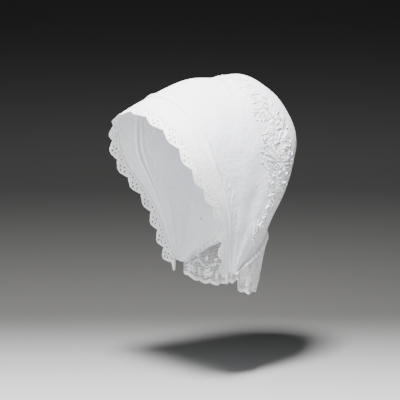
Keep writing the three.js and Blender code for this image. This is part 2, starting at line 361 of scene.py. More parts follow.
class Cloth:
    """The worn cotton over the fan, with its folds, creases and the faint relief behind the band."""

    OUTER = 0.00125
    FILL = 0.0030
    STRIP_HALF = 0.0095
    STRIP_FROM, STRIP_TO = 0.18, 0.98
    GHOST = np.array([
        [0.20, -13.9], [0.32, -13.8], [0.40, -13.5], [0.51, -12.6],
        [0.60, -10.6], [0.73, -4.6], [0.83, 1.0], [1.0, 3.0],
    ])
    PLEATS = np.array([
        [1.0, 1.4, 0.00, 0.30, 0.0010],
        [4.6, 1.1, 0.02, 0.24, -0.0008],
        [8.2, 1.5, 0.04, 0.26, 0.0009],
    ])

    def __init__(self, fan: Fan) -> None:
        """Keeps the fan and chooses the creases."""
        self.fan = fan
        self.soft = Creases(11, 0.020, 0.090, 0.0009)
        self.fine = Creases(4, 0.0040, 0.0085, 0.0004)

    def ghost(self, turn: np.ndarray, s: np.ndarray, point: np.ndarray) -> np.ndarray:
        """The mottled strip beside the band: small lumps that fade out 9.5 mm to each side of its middle."""
        side = np.abs(s)
        middle = np.interp(side, self.GHOST[:, 0], self.GHOST[:, 1])
        across = (turn - middle) * self.fan.radius(turn, s) * math.pi / 180 / self.STRIP_HALF
        start = np.clip((side - self.STRIP_FROM) * 6, 0, 1)
        end = np.clip((self.STRIP_TO - side) * 6, 0, 1)
        return bell(across) * start * end * self.fine.height(point)

    def height(self, turn: np.ndarray, s: np.ndarray) -> np.ndarray:
        """How far the outer face of the cloth stands out from the fan."""
        point = self.fan.point(turn, s)
        calm = np.clip((1 - np.abs(s)) * 6, 0, 1)
        front = np.clip((turn - self.fan.sizes.tuck_turn + 4) / 9, 0.25, 1)
        taut = 0.12 + 0.3 * np.clip((turn - 44) / 10, 0, 1) + 0.15 * np.clip((np.abs(s) - 0.8) / 0.12, 0, 1)
        rise = self.fan.relief(turn, s) * taut + self.OUTER + self.soft.height(point) * calm * front
        for centre, wide, start, end, lift in self.PLEATS:
            along = bell((np.abs(s) - (start + end) / 2) / ((end - start) / 2))
            rise = rise + lift * bell((turn - centre) / wide) * along
        side = np.clip((np.abs(s) - 0.06) / 0.16, 0, 1) * np.clip((0.48 - np.abs(s)) / 0.24, 0, 1)
        rise = rise + self.FILL * bell((turn - 4.5) / 9.5) * side * side * (3 - 2 * side)
        return rise + self.ghost(turn, s, point)

    def place(self, turn: np.ndarray, s: np.ndarray, lift: np.ndarray | float = 0.0) -> np.ndarray:
        """Points on the cloth, raised by lift in metres."""
        turn, s = np.broadcast_arrays(np.asarray(turn, float), np.asarray(s, float))
        rise = self.height(turn, s) + lift
        return self.fan.point(turn, s) + self.fan.outward(turn, s) * rise[..., None]


@dataclass
class Strokes:
    """Raised stitches as padded strokes: each a flat path in millimetres, its half width and height."""

    paths: np.ndarray
    half: np.ndarray
    height: np.ndarray
    sides: int = 6

    def patch(self, place: "Placer") -> Patch:
        """Sweeps a low rounded section along every path and sets it on the cloth.

        A station's section is half * cos(angle) across and height * sin(angle) up, with its
        underside flattened to a third; each end closes on a pole.

        Args:
            place: puts flat millimetres and a lift in millimetres on the cloth.

        Returns:
            One closed patch with every stroke in it.
        """
        count, stations, _ = self.paths.shape
        tangent = np.gradient(self.paths, axis=1)
        tangent /= np.linalg.norm(tangent, axis=-1, keepdims=True) + 1e-9
        normal = np.stack([-tangent[..., 1], tangent[..., 0]], -1)
        angle = np.arange(self.sides) * 2 * math.pi / self.sides
        up = np.where(np.sin(angle) > -0.01, np.sin(angle), 0.34 * np.sin(angle))
        across = self.half[..., None] * np.cos(angle)
        flat = self.paths[:, :, None] + normal[:, :, None] * across[..., None]
        lift = self.height[..., None] * up
        step = np.linalg.norm(np.diff(self.paths, axis=1), axis=-1)
        along = np.concatenate([np.zeros((count, 1)), np.cumsum(step, axis=1)], axis=1)
        uv = np.stack(
            [
                np.broadcast_to(along[..., None], lift.shape),
                across + np.zeros_like(lift),
            ],
            -1,
        )
        ends = self.paths[:, [0, -1]]
        end_uv = np.stack([along[:, [0, -1]], np.zeros((count, 2))], -1)
        points = np.concatenate([flat.reshape(count, -1, 2), ends], axis=1)
        lifts = np.concatenate([lift.reshape(count, -1), np.zeros((count, 2))], axis=1)
        uvs = np.concatenate([uv.reshape(count, -1, 2), end_uv], axis=1)
        each = stations * self.sides + 2
        quads = grid_faces(stations, self.sides, wrap=True)
        ring = np.arange(self.sides)
        first = np.stack([np.full(self.sides, each - 2), (ring + 1) % self.sides, ring], -1)
        base = (stations - 1) * self.sides
        final = np.stack([np.full(self.sides, each - 1), base + ring, base + (ring + 1) % self.sides], -1)
        shift = (np.arange(count) * each)[:, None, None]
        quads = (quads[None] + shift).reshape(-1, 4)
        caps = (np.concatenate([first, final])[None] + shift).reshape(-1, 3)
        placed = place(points.reshape(-1, 2), lifts.reshape(-1))
        return face_outward(Patch(placed, [quads, caps], uvs.reshape(-1, 2)))


@dataclass
class Rings:
    """Overcast eyelet rims: round low rims at given centres, in flat millimetres."""

    centres: np.ndarray
    radius: np.ndarray
    half: float
    height: float
    segments: int = 14
    sides: int = 5

    def patch(self, place: "Placer") -> Patch:
        """Sweeps a small round section about each centre.

        Args:
            place: puts flat millimetres and a lift in millimetres on the cloth.

        Returns:
            One closed patch with every rim in it.
        """
        count = len(self.centres)
        turn = np.arange(self.segments) * 2 * math.pi / self.segments
        angle = np.arange(self.sides) * 2 * math.pi / self.sides
        section = self.half * np.cos(angle)[None, None, :] * np.ones((1, self.segments, 1))
        reach = self.radius[:, None, None] + section
        ray = np.stack([np.cos(turn), np.sin(turn)], -1)
        flat = self.centres[:, None, None] + reach[..., None] * ray[None, :, None]
        lift = np.broadcast_to(self.height * np.sin(angle), reach.shape)
        around = np.broadcast_to(turn[None, :, None] * self.radius[:, None, None], reach.shape)
        uv = np.stack([around, np.broadcast_to(self.half * np.cos(angle), reach.shape)], -1)
        i, j = np.meshgrid(np.arange(self.segments), np.arange(self.sides), indexing="ij")
        n, m = (i + 1) % self.segments, (j + 1) % self.sides
        one = np.stack([i * self.sides + j, i * self.sides + m, n * self.sides + m, n * self.sides + j], -1)
        quads = one.reshape(1, -1, 4) + (np.arange(count) * self.segments * self.sides)[:, None, None]
        return face_outward(
            Patch(place(flat.reshape(-1, 2), lift.reshape(-1)), [quads.reshape(-1, 4)], uv.reshape(-1, 2))
        )


class Placer:
    """Puts a point given in flat millimetres, with a lift in millimetres, on a surface in metres."""

    def __call__(self, flat: np.ndarray, lift: np.ndarray) -> np.ndarray:
        """Returns points in metres."""
        raise NotImplementedError


def cord_paths(path: np.ndarray, half: float, height: float, sides: int = 6) -> Strokes:
    """One long cord along a flat path, tapered at its two ends.

    Args:
        path: points of the path, in flat millimetres.
        half: half its width.
        height: its height.
        sides: corners of its section.

    Returns:
        Strokes with one path.
    """
    ends = np.minimum(np.arange(len(path)), np.arange(len(path))[::-1])
    taper = np.clip(ends / 2.0, 0.35, 1.0)[None]
    return Strokes(path[None], half * taper, height * taper, sides)


def leaf_strokes(root: np.ndarray, tip: np.ndarray, half: np.ndarray | float, height: float = 1.2,
                 bend: float = 0.08, stations: int = 8) -> Strokes:
    """Leaves and petals, each from its root to its tip.

    The centre line bows aside by bend * length * sin(pi * t); the half width follows
    sin(pi * t ** 0.8), so that the widest place lies nearer the root.

    Args:
        root: where they start, in flat millimetres.
        tip: where they end.
        half: largest half width.
        height: height of the padding.
        bend: how far they bow aside, as a share of their length.
        stations: sections along each.

    Returns:
        Strokes with one path for each leaf.
    """
    t = np.linspace(0, 1, stations)
    run = tip - root
    aside = np.stack([-run[:, 1], run[:, 0]], -1)
    bow = bend * np.where(np.arange(len(root)) % 2 == 0, 1.0, -1.0)[:, None] * np.sin(math.pi * t)
    paths = root[:, None] + run[:, None] * t[None, :, None] + aside[:, None] * bow[..., None]
    swell = np.maximum(np.sin(math.pi * np.clip(t, 0.02, 0.98) ** 0.8), 0.2)
    widest = np.broadcast_to(np.asarray(half, float), (len(root),))
    heights = height * (0.4 + 0.6 * swell)[None] * np.ones((len(root), 1))
    return Strokes(paths, widest[:, None] * swell, heights)


def ring_of(centre: np.ndarray, near: np.ndarray, far: np.ndarray,
            count: int) -> tuple[np.ndarray, np.ndarray]:
    """Roots and tips of petals that stand round centres.

    Args:
        centre: the centres.
        near: distance of the roots from each centre.
        far: distance of the tips.
        count: petals round each.

    Returns:
        Roots and tips.
    """
    angle = np.arange(count) * 2 * math.pi / count + 0.25
    ray = np.stack([np.cos(angle), np.sin(angle)], -1)[None]
    root = centre[:, None] + near[:, None, None] * ray
    tip = centre[:, None] + far[:, None, None] * ray
    return root.reshape(-1, 2), tip.reshape(-1, 2)


def dot_strokes(centre: np.ndarray, radius: float, height: float) -> Strokes:
    """Round padded dots, each a short stroke whose half width follows a circle."""
    t = np.linspace(-0.92, 0.92, 5)
    paths = centre[:, None] + np.stack([t * radius, np.zeros(5)], -1)[None]
    swell = np.sqrt(1 - t * t)[None] * np.ones((len(centre), 1))
    return Strokes(paths, radius * swell, height * (0.4 + 0.6 * swell))


class NodeKit:
    """Short ways to add nodes and links to one node tree."""

    def __init__(self, tree: bpy.types.NodeTree) -> None:
        """Keeps the tree."""
        self.tree = tree

    def add(self, kind: str, **settings: object) -> bpy.types.Node:
        """Adds a node and sets its properties."""
        node = self.tree.nodes.new(kind)
        for name, value in settings.items():
            setattr(node, name, value)
        return node

    def link(self, source: bpy.types.NodeSocket, target: bpy.types.NodeSocket) -> None:
        """Joins two sockets."""
        self.tree.links.new(source, target)

    def math(self, operation: str, first: object, second: object = None) -> bpy.types.NodeSocket:
        """Adds a Math node fed by sockets or numbers, and returns its output."""
        node = self.add("ShaderNodeMath", operation=operation)
        for socket, value in zip(node.inputs, (first, second)):
            if isinstance(value, bpy.types.NodeSocket):
                self.link(value, socket)
            elif value is not None:
                socket.default_value = value
        return node.outputs[0]


class SharedEffects:
    """The node groups that more than one finish uses, each built once."""

    def __init__(self) -> None:
        """Builds the groups."""
        self.weave = self._weave()
        self.age = self._age()
        self.satin = self._satin()

    @staticmethod
    def _new(name: str, inputs: dict[str, float], outputs: list[str]) -> tuple[bpy.types.NodeTree, NodeKit]:
        """Starts a group with float inputs, a vector input named Place and float outputs."""
        tree = bpy.data.node_groups.new(name, "ShaderNodeTree")
        tree.interface.new_socket("Place", in_out="INPUT", socket_type="NodeSocketVector")
        for socket, value in inputs.items():
            made = tree.interface.new_socket(socket, in_out="INPUT", socket_type="NodeSocketFloat")
            made.default_value = value
        for socket in outputs:
            tree.interface.new_socket(socket, in_out="OUTPUT", socket_type="NodeSocketFloat")
        return tree, NodeKit(tree)

    def _weave(self) -> bpy.types.NodeTree:
        """Plain weave: two crossed sets of rounded threads with slubs; gives height, and a tone of random fine
        noise plus painted shade, darker in the gaps between threads.
        """
        tree, kit = self._new("plain_weave", {"Threads": 20.0, "Slub": 0.35}, ["Height", "Tone"])
        inside, outside = kit.add("NodeGroupInput"), kit.add("NodeGroupOutput")
        split = kit.add("ShaderNodeSeparateXYZ")
        kit.link(inside.outputs["Place"], split.inputs[0])
        slub = kit.add("ShaderNodeTexNoise", noise_dimensions="3D")
        slub.inputs["Scale"].default_value = 9.0
        slub.inputs["Detail"].default_value = 3.0
        kit.link(inside.outputs["Place"], slub.inputs["Vector"])
        wobble = kit.math("MULTIPLY", slub.outputs["Fac"], inside.outputs["Slub"])
        waves = []
        for axis in (0, 1):
            turns = kit.math("MULTIPLY", split.outputs[axis], inside.outputs["Threads"])
            turns = kit.math("MULTIPLY", kit.math("ADD", turns, wobble), 2 * math.pi)
            waves.append(kit.math("ABSOLUTE", kit.math("SINE", turns)))
        height = kit.math("MULTIPLY", kit.math("ADD", waves[0], waves[1]), 0.5)
        kit.link(height, outside.inputs["Height"])
        fine = kit.add("ShaderNodeTexNoise")
        fine.inputs["Scale"].default_value = 60.0
        kit.link(inside.outputs["Place"], fine.inputs["Vector"])
        # Painted shade: this part of the tone follows the height, so the gaps between threads are darker.
        painted_groove_shade = kit.math("MULTIPLY", height, 0.4)
        tone = kit.math("ADD", painted_groove_shade, kit.math("MULTIPLY", fine.outputs["Fac"], 0.6))
        kit.link(tone, outside.inputs["Tone"])
        return tree

    def _age(self) -> bpy.types.NodeTree:
        """Washed-out tone: broad soft clouds with finer ones on top; gives a tone and a rough height."""
        tree, kit = self._new("washed_tone", {"Size": 14.0}, ["Tone", "Height"])
        inside, outside = kit.add("NodeGroupInput"), kit.add("NodeGroupOutput")
        broad = kit.add("ShaderNodeTexNoise")
        broad.inputs["Detail"].default_value = 5.0
        broad.inputs["Roughness"].default_value = 0.6
        kit.link(inside.outputs["Place"], broad.inputs["Vector"])
        kit.link(inside.outputs["Size"], broad.inputs["Scale"])
        crease = kit.add("ShaderNodeTexNoise")
        crease.inputs["Detail"].default_value = 3.0
        crease.inputs["Distortion"].default_value = 0.6
        kit.link(inside.outputs["Place"], crease.inputs["Vector"])
        kit.link(kit.math("MULTIPLY", inside.outputs["Size"], 9.0), crease.inputs["Scale"])
        kit.link(broad.outputs["Fac"], outside.inputs["Tone"])
        kit.link(crease.outputs["Fac"], outside.inputs["Height"])
        return tree

    def _satin(self) -> bpy.types.NodeTree:
        """Satin stitches: close slanted ridges across a stroke; gives height, and a tone that is painted shade,
        darker in the grooves between stitches.
        """
        tree, kit = self._new("satin_stitch", {"Stitches": 22.0, "Slant": 0.5}, ["Height", "Tone"])
        inside, outside = kit.add("NodeGroupInput"), kit.add("NodeGroupOutput")
        split = kit.add("ShaderNodeSeparateXYZ")
        kit.link(inside.outputs["Place"], split.inputs[0])
        lean = kit.math("MULTIPLY", split.outputs[1], inside.outputs["Slant"])
        run = kit.math("ADD", split.outputs[0], lean)
        turns = kit.math("MULTIPLY", kit.math("MULTIPLY", run, inside.outputs["Stitches"]), 2 * math.pi)
        ridge = kit.math("ABSOLUTE", kit.math("SINE", turns))
        kit.link(ridge, outside.inputs["Height"])
        # Painted shade: the tone follows the ridges, darker in the grooves between stitches.
        kit.link(kit.math("MULTIPLY", ridge, 0.6), outside.inputs["Tone"])
        return tree


@dataclass(frozen=True)
class Finish:
    """One cotton finish: its colours, gloss and the scale of its threads."""

    name: str
    light: tuple[float, float, float]
    shade: tuple[float, float, float]
    roughness: float = 0.86
    threads: float = 20.0
    depth: float = 0.00012
    sheen: float = 0.12
    stitched: bool = False
    crease: float = 0.0018

    def material(self, effects: SharedEffects) -> bpy.types.Material:
        """Builds the material: threads and clouds mix its two colours and drive its bump.

        Args:
            effects: the shared node groups.

        Returns:
            The material.
        """
        made = bpy.data.materials.new(self.name)
        made.use_nodes = True
        kit = NodeKit(made.node_tree)
        shader = made.node_tree.nodes["Principled BSDF"]
        shader.inputs["Sheen Weight"].default_value = self.sheen
        shader.inputs["Sheen Roughness"].default_value = 0.5
        shader.inputs["Specular IOR Level"].default_value = 0.25
        flat = kit.add("ShaderNodeUVMap", uv_map="cloth")
        solid = kit.add("ShaderNodeTexCoord")
        threads = kit.add("ShaderNodeGroup", node_tree=effects.satin if self.stitched else effects.weave)
        threads.inputs["Stitches" if self.stitched else "Threads"].default_value = self.threads
        kit.link(flat.outputs["UV"], threads.inputs["Place"])
        age = kit.add("ShaderNodeGroup", node_tree=effects.age)
        kit.link(solid.outputs["Object"], age.inputs["Place"])
        tone = kit.math("MULTIPLY", threads.outputs["Tone"], 0.45)
        tone = kit.math("ADD", tone, kit.math("MULTIPLY", age.outputs["Tone"], 0.75))
        mix = kit.add("ShaderNodeMix", data_type="RGBA", clamp_factor=True)
        kit.link(tone, mix.inputs["Factor"])
        mix.inputs["A"].default_value = (*self.shade, 1)
        mix.inputs["B"].default_value = (*self.light, 1)
        kit.link(mix.outputs["Result"], shader.inputs["Base Color"])
        rough = kit.math("ADD", kit.math("MULTIPLY", threads.outputs["Height"], -0.08), self.roughness)
        kit.link(rough, shader.inputs["Roughness"])
        broad = kit.add("ShaderNodeBump")
        broad.inputs["Distance"].default_value = self.crease
        broad.inputs["Strength"].default_value = 0.6
        kit.link(age.outputs["Height"], broad.inputs["Height"])
        fine = kit.add("ShaderNodeBump")
        fine.inputs["Distance"].default_value = self.depth
        fine.inputs["Strength"].default_value = 0.8
        kit.link(threads.outputs["Height"], fine.inputs["Height"])
        kit.link(broad.outputs["Normal"], fine.inputs["Normal"])
        kit.link(fine.outputs["Normal"], shader.inputs["Normal"])
        return made


@dataclass(frozen=True)
class Finishes:
    """Every finish of the cap."""

    batiste: Finish = Finish("white_batiste", (0.87, 0.88, 0.92), (0.80, 0.815, 0.86))
    band: Finish = Finish("band_cotton", (0.90, 0.905, 0.92), (0.82, 0.83, 0.855))
    lace: Finish = Finish("eyelet_cotton", (0.92, 0.92, 0.925), (0.84, 0.84, 0.85), threads=18.0)
    thread: Finish = Finish(
        "satin_thread", (0.96, 0.96, 0.965), (0.87, 0.875, 0.885), 0.62, 24.0, 0.00016, 0.2, stitched=True
    )
    # Painted shade: the net's colours are darker than the other cotton's, standing for the shade on the lower
    # back and the dark seen through the mesh.
    net: Finish = Finish("cotton_net_painted_shade", (0.87, 0.87, 0.88), (0.75, 0.75, 0.765), 0.85, 30.0, 0.00008)


class GarlandPlace(Placer):
    """Puts the flat design of the garland on one side of the crown.

    g runs along the garland's middle line from the top of the head down one side, and h across it,
    positive toward the back.
    """

    LINE = np.array([
        [5.4, 0.000], [5.4, 0.060], [5.7, 0.130], [7.2, 0.197], [9.8, 0.246], [12.6, 0.288],
        [15.3, 0.325], [17.6, 0.363], [19.6, 0.401], [21.7, 0.441], [24.1, 0.479], [26.7, 0.521],
        [29.1, 0.567], [30.7, 0.620], [31.7, 0.669], [32.3, 0.722], [32.9, 0.775], [33.4, 0.839],
    ])

    def __init__(self, cloth: Cloth, side: int) -> None:
        """Measures the middle line on the cloth, in millimetres."""
        self.cloth = cloth
        self.side = side
        fine, knots = np.linspace(0, 1, 200), np.linspace(0, 1, len(self.LINE))
        soft = window(25)
        turn, s = [
            smoothed(np.interp(fine, knots, self.LINE[:, k]), soft, mode="reflect", reflect_type="odd")
            for k in (0, 1)
        ]
        point = cloth.fan.point(turn, s) / MM
        self.distance = np.concatenate([[0], np.cumsum(np.linalg.norm(np.diff(point, axis=0), axis=1))])
        self.turn, self.s = turn, s
        self.arch = cloth.fan.arch(turn)[3] / MM
        self.rho = cloth.fan.radius(turn, s) / MM * math.pi / 180
        heading = np.stack([np.gradient(s) * self.arch, np.gradient(turn) * self.rho], -1)
        self.heading = heading / np.linalg.norm(heading, axis=1, keepdims=True)

    @property
    def total(self) -> float:
        """The length of the middle line in millimetres."""
        return float(self.distance[-1])

    def cap(self, flat: np.ndarray) -> tuple[np.ndarray, np.ndarray]:
        """Turn and s of flat points: the middle line at g, plus h square to it in the cloth's own scale."""
        g = np.clip(flat[:, 0], 0, self.total)
        past = flat[:, 0] - g
        pick = lambda values: np.interp(g, self.distance, values)
        ahead, aside = pick(self.heading[:, 0]), pick(self.heading[:, 1])
        h = flat[:, 1]
        arch = pick(self.arch)
        rho = pick(self.rho)
        s = pick(self.s) + (-aside * h + ahead * past) / arch
        turn = pick(self.turn) + (ahead * h + aside * past) / rho
        return turn, s

    def __call__(self, flat: np.ndarray, lift: np.ndarray) -> np.ndarray:
        """Returns points in metres."""
        turn, s = self.cap(flat)
        return self.cloth.place(turn, self.side * s, lift * MM)


@dataclass
class Garland:
    """The raised whitework: a waved stem with leaves, sprays, sprigs, flowers, rosettes and berries.

    Each table has one row for each motif: g and h of its root or centre, then g and h of its tip.
    """

    cloth: Cloth
    finishes: dict[str, bpy.types.Material]
    height: float = 1.6

    STEM = np.array([
        [-1, 2.0], [12, -3.0], [26, 4.0], [40, -2.0], [51.7, -6.9], [64.7, -2.5], [79.0, -0.3],
        [93.6, 2.1], [104.6, 1.9], [113.5, -3.3], [121.6, -10.3], [131.4, -9.3], [140.3, 0.9],
        [150.5, 1.7], [159.4, -2.3], [168.4, -4.1], [176.9, 2.5], [184.2, 6.7], [192.0, 3.3],
        [202.5, 1.1], [215.1, -1.1], [228.5, -0.5], [241.0, -0.3], [252.0, -0.3], [264.0, 0.0],
    ])
    LEAVES = np.array([
        [67.2, -10.5, 72.4, -2.7], [71.2, -20.2, 80.6, -11.5], [91.1, -18.0, 87.9, -12.5],
        [95.2, -13.1, 90.7, -9.3], [103.7, -4.1, 103.7, 4.7], [73.3, 3.9, 81.4, 12.0],
        [81.4, 1.5, 87.1, 7.5], [76.5, -1.1, 85.0, 2.1], [69.2, 10.7, 76.5, 18.7],
        [79.0, 20.2, 85.9, 22.6], [113.0, 4.0, 112.7, 17.4], [120.4, -23.4, 118.8, -17.4],
        [131.8, -7.3, 128.9, 6.7], [136.3, 9.5, 130.6, 18.6], [137.9, 9.3, 135.5, 20.6],
        [139.1, 10.1, 142.1, 17.1], [150.5, 16.3, 144.0, 26.2], [155.0, 13.5, 149.6, 26.0],
        [161.9, 2.3, 157.0, 9.3], [158.6, 17.3, 153.7, 25.6], [162.7, -20.6, 169.2, -11.5],
        [164.3, 9.3, 159.0, 12.3], [169.6, 1.5, 164.3, 6.1], [167.6, 14.7, 161.5, 22.6],
        [187.5, -11.7, 181.0, -6.9], [175.3, 1.1, 170.4, 7.9], [194.4, -7.7, 194.0, 1.3],
        [189.5, -1.5, 189.1, 8.5], [200.5, -4.3, 192.0, 3.3], [213.1, 0.1, 203.3, 3.1],
        [236.3, 1.3, 228.5, 2.3], [234.2, -5.7, 226.9, -1.9], [255.0, 2.5, 248.0, 1.1],
        [8.0, 2.0, 15.0, 10.0], [8.0, -2.0, 16.0, -9.0], [30.0, -2.0, 38.0, -10.0],
        [30.0, 2.0, 39.0, 9.0], [42.0, -4.0, 48.0, -14.0], [43.0, -2.0, 51.0, 6.0],
        [56.0, -3.0, 63.0, 8.0], [60.0, -4.0, 66.0, 12.0], [107.0, 8.0, 102.0, 15.0],
        [97.0, 9.0, 92.0, 17.0], [176.0, 14.0, 171.0, 21.0], [184.0, 15.0, 179.0, 22.0],
        [197.0, 12.0, 190.0, 17.0], [209.0, 8.0, 201.0, 12.0], [222.0, -7.0, 214.0, -6.0],
        [219.0, 6.0, 211.0, 9.0], [246.0, -5.0, 239.0, -4.0], [176.0, -12.0, 172.0, -5.0],
        [205.0, -9.0, 199.0, -7.5],
    ])
    PETALS = np.array([
        [153.3, -0.5, 146.0, -24.2], [152.5, -0.9, 140.3, -24.0], [151.7, 0.1, 135.0, -21.2],
        [151.3, 0.7, 132.6, -14.1], [150.5, 1.7, 135.9, -6.9], [149.7, 2.5, 137.9, -0.7],
        [51.3, -5.7, 71.2, -3.5], [51.0, -3.0, 69.0, 0.8], [100.0, 16.0, 108.0, 26.0],
        [98.0, 17.0, 102.0, 28.0], [96.0, 17.0, 94.0, 28.0],
    ])
    SPRIGS = np.array([
        [83.4, -1.3, 101.3, 6.5], [111.9, 17.3, 99.3, 32.0], [223.2, 0.3, 209.8, 1.9],
        [20.0, 3.0, 36.0, 16.0], [127.0, 12.0, 119.0, 27.0], [262.0, -3.0, 247.0, -9.0],
    ])
    ROSETTES = np.array([
        [92.8, -5.5, 96.4, -5.5], [144.0, 10.9, 148.4, 10.9], [199.7, 4.7, 203.3, 4.7],
        [242.4, 2.6, 245.6, 2.6], [18.0, -11.0, 21.6, -11.0], [47.0, 13.0, 50.6, 13.0],
    ])
    FLOWERS = np.array([
        [115.5, -13.9, 121.2, -13.9], [180.2, 9.9, 186.0, 9.9], [24.0, 10.0, 29.6, 10.0],
        [86.0, -9.0, 90.6, -9.0],
    ])
    BERRIES = np.array([
        [127.3, 11.1], [125.7, 17.9], [125.3, 25.0], [121.0, 8.0], [108.5, -9.5], [104.0, -12.5],
        [171.0, -13.5], [169.5, -17.5], [184.5, -15.0], [158.0, -12.0], [155.6, -15.5], [118.0, 3.5],
        [141.6, 22.5], [147.0, 21.0], [165.5, 16.5], [173.0, 24.5], [186.0, 1.0], [196.0, 8.5],
        [206.5, 6.0], [217.0, -4.5], [231.0, 5.5], [250.0, 4.5], [75.0, -15.5], [60.0, 10.5],
        [35.0, -12.5], [12.0, 12.5],
    ])

    STEP_ALONG, STEP_ACROSS, CLEAR = 6.6, 6.8, 2.7
    SWELL = np.array([[0, 0.70], [60, 0.85], [105, 0.95], [150, 1.25], [190, 1.40], [266, 1.30]])
    EDGES = np.array([
        [38, 0.0, 16.0], [56, -10.0, 20.0], [70, -21.0, 19.0], [90, -24.0, 25.0], [107, -25.0, 33.0],
        [120, -28.0, 34.0], [146, -30.0, 38.0], [160, -27.0, 31.0], [172, -24.0, 27.0],
        [184, -19.0, 20.0], [196, -15.0, 15.0], [214, -10.5, 10.0], [236, -8.5, 8.0], [266, -5.0, 6.0],
    ])

    def design(self) -> tuple[list[Strokes], list[np.ndarray]]:
        """Draws the garland flat.

        Returns:
            The strokes, and rows of g, h and radius for the eyelets of flowers and for those of rosettes.
        """
        knots, fine = np.arange(len(self.STEM)), np.linspace(0, len(self.STEM) - 1, 340)
        soft = window(19)
        stem = np.stack([smoothed(np.interp(fine, knots, self.STEM[:, k]), soft) for k in (0, 1)], -1)
        strokes = [cord_paths(stem, 0.62, 0.85)]
        leaf_length = np.linalg.norm(self.LEAVES[:, 2:] - self.LEAVES[:, :2], axis=1)
        leaf_half = np.clip(leaf_length * 0.10, 0.75, 1.1)
        strokes.append(leaf_strokes(self.LEAVES[:, :2], self.LEAVES[:, 2:], leaf_half, self.height))
        strokes.append(leaf_strokes(self.PETALS[:, :2], self.PETALS[:, 2:], 0.85, self.height, 0.06, 12))
        strokes.append(leaf_strokes(self.SPRIGS[:, :2], self.SPRIGS[:, 2:], 0.6, 0.8, 0.05, 9))
        strokes.append(self.pairs(self.SPRIGS[:, :2], self.SPRIGS[:, 2:], 5, 5.2))
        pick = np.arange(10, len(stem) - 4, 6)
        ahead = stem[pick + 2] - stem[pick - 2]
        ahead /= np.linalg.norm(ahead, axis=1, keepdims=True)
        strokes.append(self.pairs(stem[pick], stem[pick] + ahead * 0.5, 1, 4.8))
        eyelets = []
        for table, petals, inner, hole in ((self.FLOWERS, 8, 2.3, 1.3), (self.ROSETTES, 7, 2.1, 1.1)):
            reach = np.linalg.norm(table[:, 2:] - table[:, :2], axis=1)
            if petals == 8:
                root, tip = ring_of(table[:, :2], np.full(len(table), inner), reach + 1.2, petals)
                strokes.append(leaf_strokes(root, tip, 1.15, self.height, 0.0))
            else:
                middle, _ = ring_of(table[:, :2], reach, reach, petals)
                strokes.append(dot_strokes(middle, 1.15, self.height))
            eyelets.append(np.column_stack([table[:, :2], np.full(len(table), hole)]))
        strokes.append(dot_strokes(self.BERRIES, 1.2, self.height))
        strokes += self.filling()
        return strokes, eyelets

    def filling(self) -> list[Strokes]:
        """Small leaves and seeds between the motifs.

        They stand on a staggered grid within the garland's two edges, slightly shifted at random,
        wherever no motif lies within CLEAR millimetres, and lean away from the stem toward the top of the head.
        """
        rng = np.random.default_rng(21)
        taken = [self.STEM, self.BERRIES, self.FLOWERS[:, :2], self.ROSETTES[:, :2]]
        t = np.linspace(0, 1, 7)[:, None, None]
        for table in (self.LEAVES, self.PETALS, self.SPRIGS):
            taken.append((table[None, :, :2] * (1 - t) + table[None, :, 2:] * t).reshape(-1, 2))
        busy = np.concatenate(taken)
        columns = np.arange(38.0, 266.0, self.STEP_ALONG)
        g, h = np.meshgrid(columns, np.arange(-32.0, 46.0, self.STEP_ACROSS), indexing="ij")
        h = h + self.STEP_ACROSS / 2 * (np.round(g / self.STEP_ALONG) % 2)
        spot = np.stack([g, h], -1).reshape(-1, 2) + rng.uniform(-1.1, 1.1, (g.size, 2))
        low = np.interp(spot[:, 0], self.EDGES[:, 0], self.EDGES[:, 1])
        high = np.interp(spot[:, 0], self.EDGES[:, 0], self.EDGES[:, 2])
        near = np.linalg.norm(spot[:, None] - busy[None], axis=-1).min(axis=1)
        spot = spot[(spot[:, 1] > low) & (spot[:, 1] < high) & (near > self.CLEAR)]
        seed = rng.random(len(spot)) < 0.22
        leaf, dot = spot[~seed], spot[seed]
        stem = np.interp(leaf[:, 0], self.STEM[:, 0], self.STEM[:, 1])
        away = np.where(leaf[:, 1] > stem, 0.8, -0.8)
        lean = np.arctan2(away, -0.7) + rng.uniform(-0.45, 0.45, len(leaf))
        half_run = rng.uniform(2.4, 4.0, len(leaf))[:, None] * np.stack([np.cos(lean), np.sin(lean)], -1)
        half = rng.uniform(0.55, 0.8, len(leaf))
        return [
            leaf_strokes(leaf - half_run, leaf + half_run, half, self.height * 0.8),
            dot_strokes(dot, 0.85, self.height * 0.75),
        ]

    def pairs(self, root: np.ndarray, tip: np.ndarray, count: int, length: float) -> Strokes:
        """Pairs of small leaves along straight stems, each leaning forward by about 45 degrees."""
        t = (np.arange(count) + 0.7) / count
        run = tip - root
        ahead = run / np.linalg.norm(run, axis=1, keepdims=True)
        aside = np.stack([-ahead[:, 1], ahead[:, 0]], -1)
        at = root[:, None] + run[:, None] * t[None, :, None]
        starts, ends = [], []
        for side in (-1.0, 1.0):
            lean = ahead[:, None] * 0.72 + side * aside[:, None] * 0.7
            starts.append((at + side * aside[:, None] * 0.5).reshape(-1, 2))
            ends.append((at + lean * length).reshape(-1, 2))
        return leaf_strokes(np.concatenate(starts), np.concatenate(ends), 0.7, self.height * 0.85)

    def swelled(self, strokes: Strokes) -> Strokes:
        """Raises the strokes less near the top of the head and more down the side."""
        at = strokes.paths[..., 0].mean(axis=1)
        share = np.interp(at, self.SWELL[:, 0], self.SWELL[:, 1])
        return Strokes(strokes.paths, strokes.half, strokes.height * share[:, None], strokes.sides)

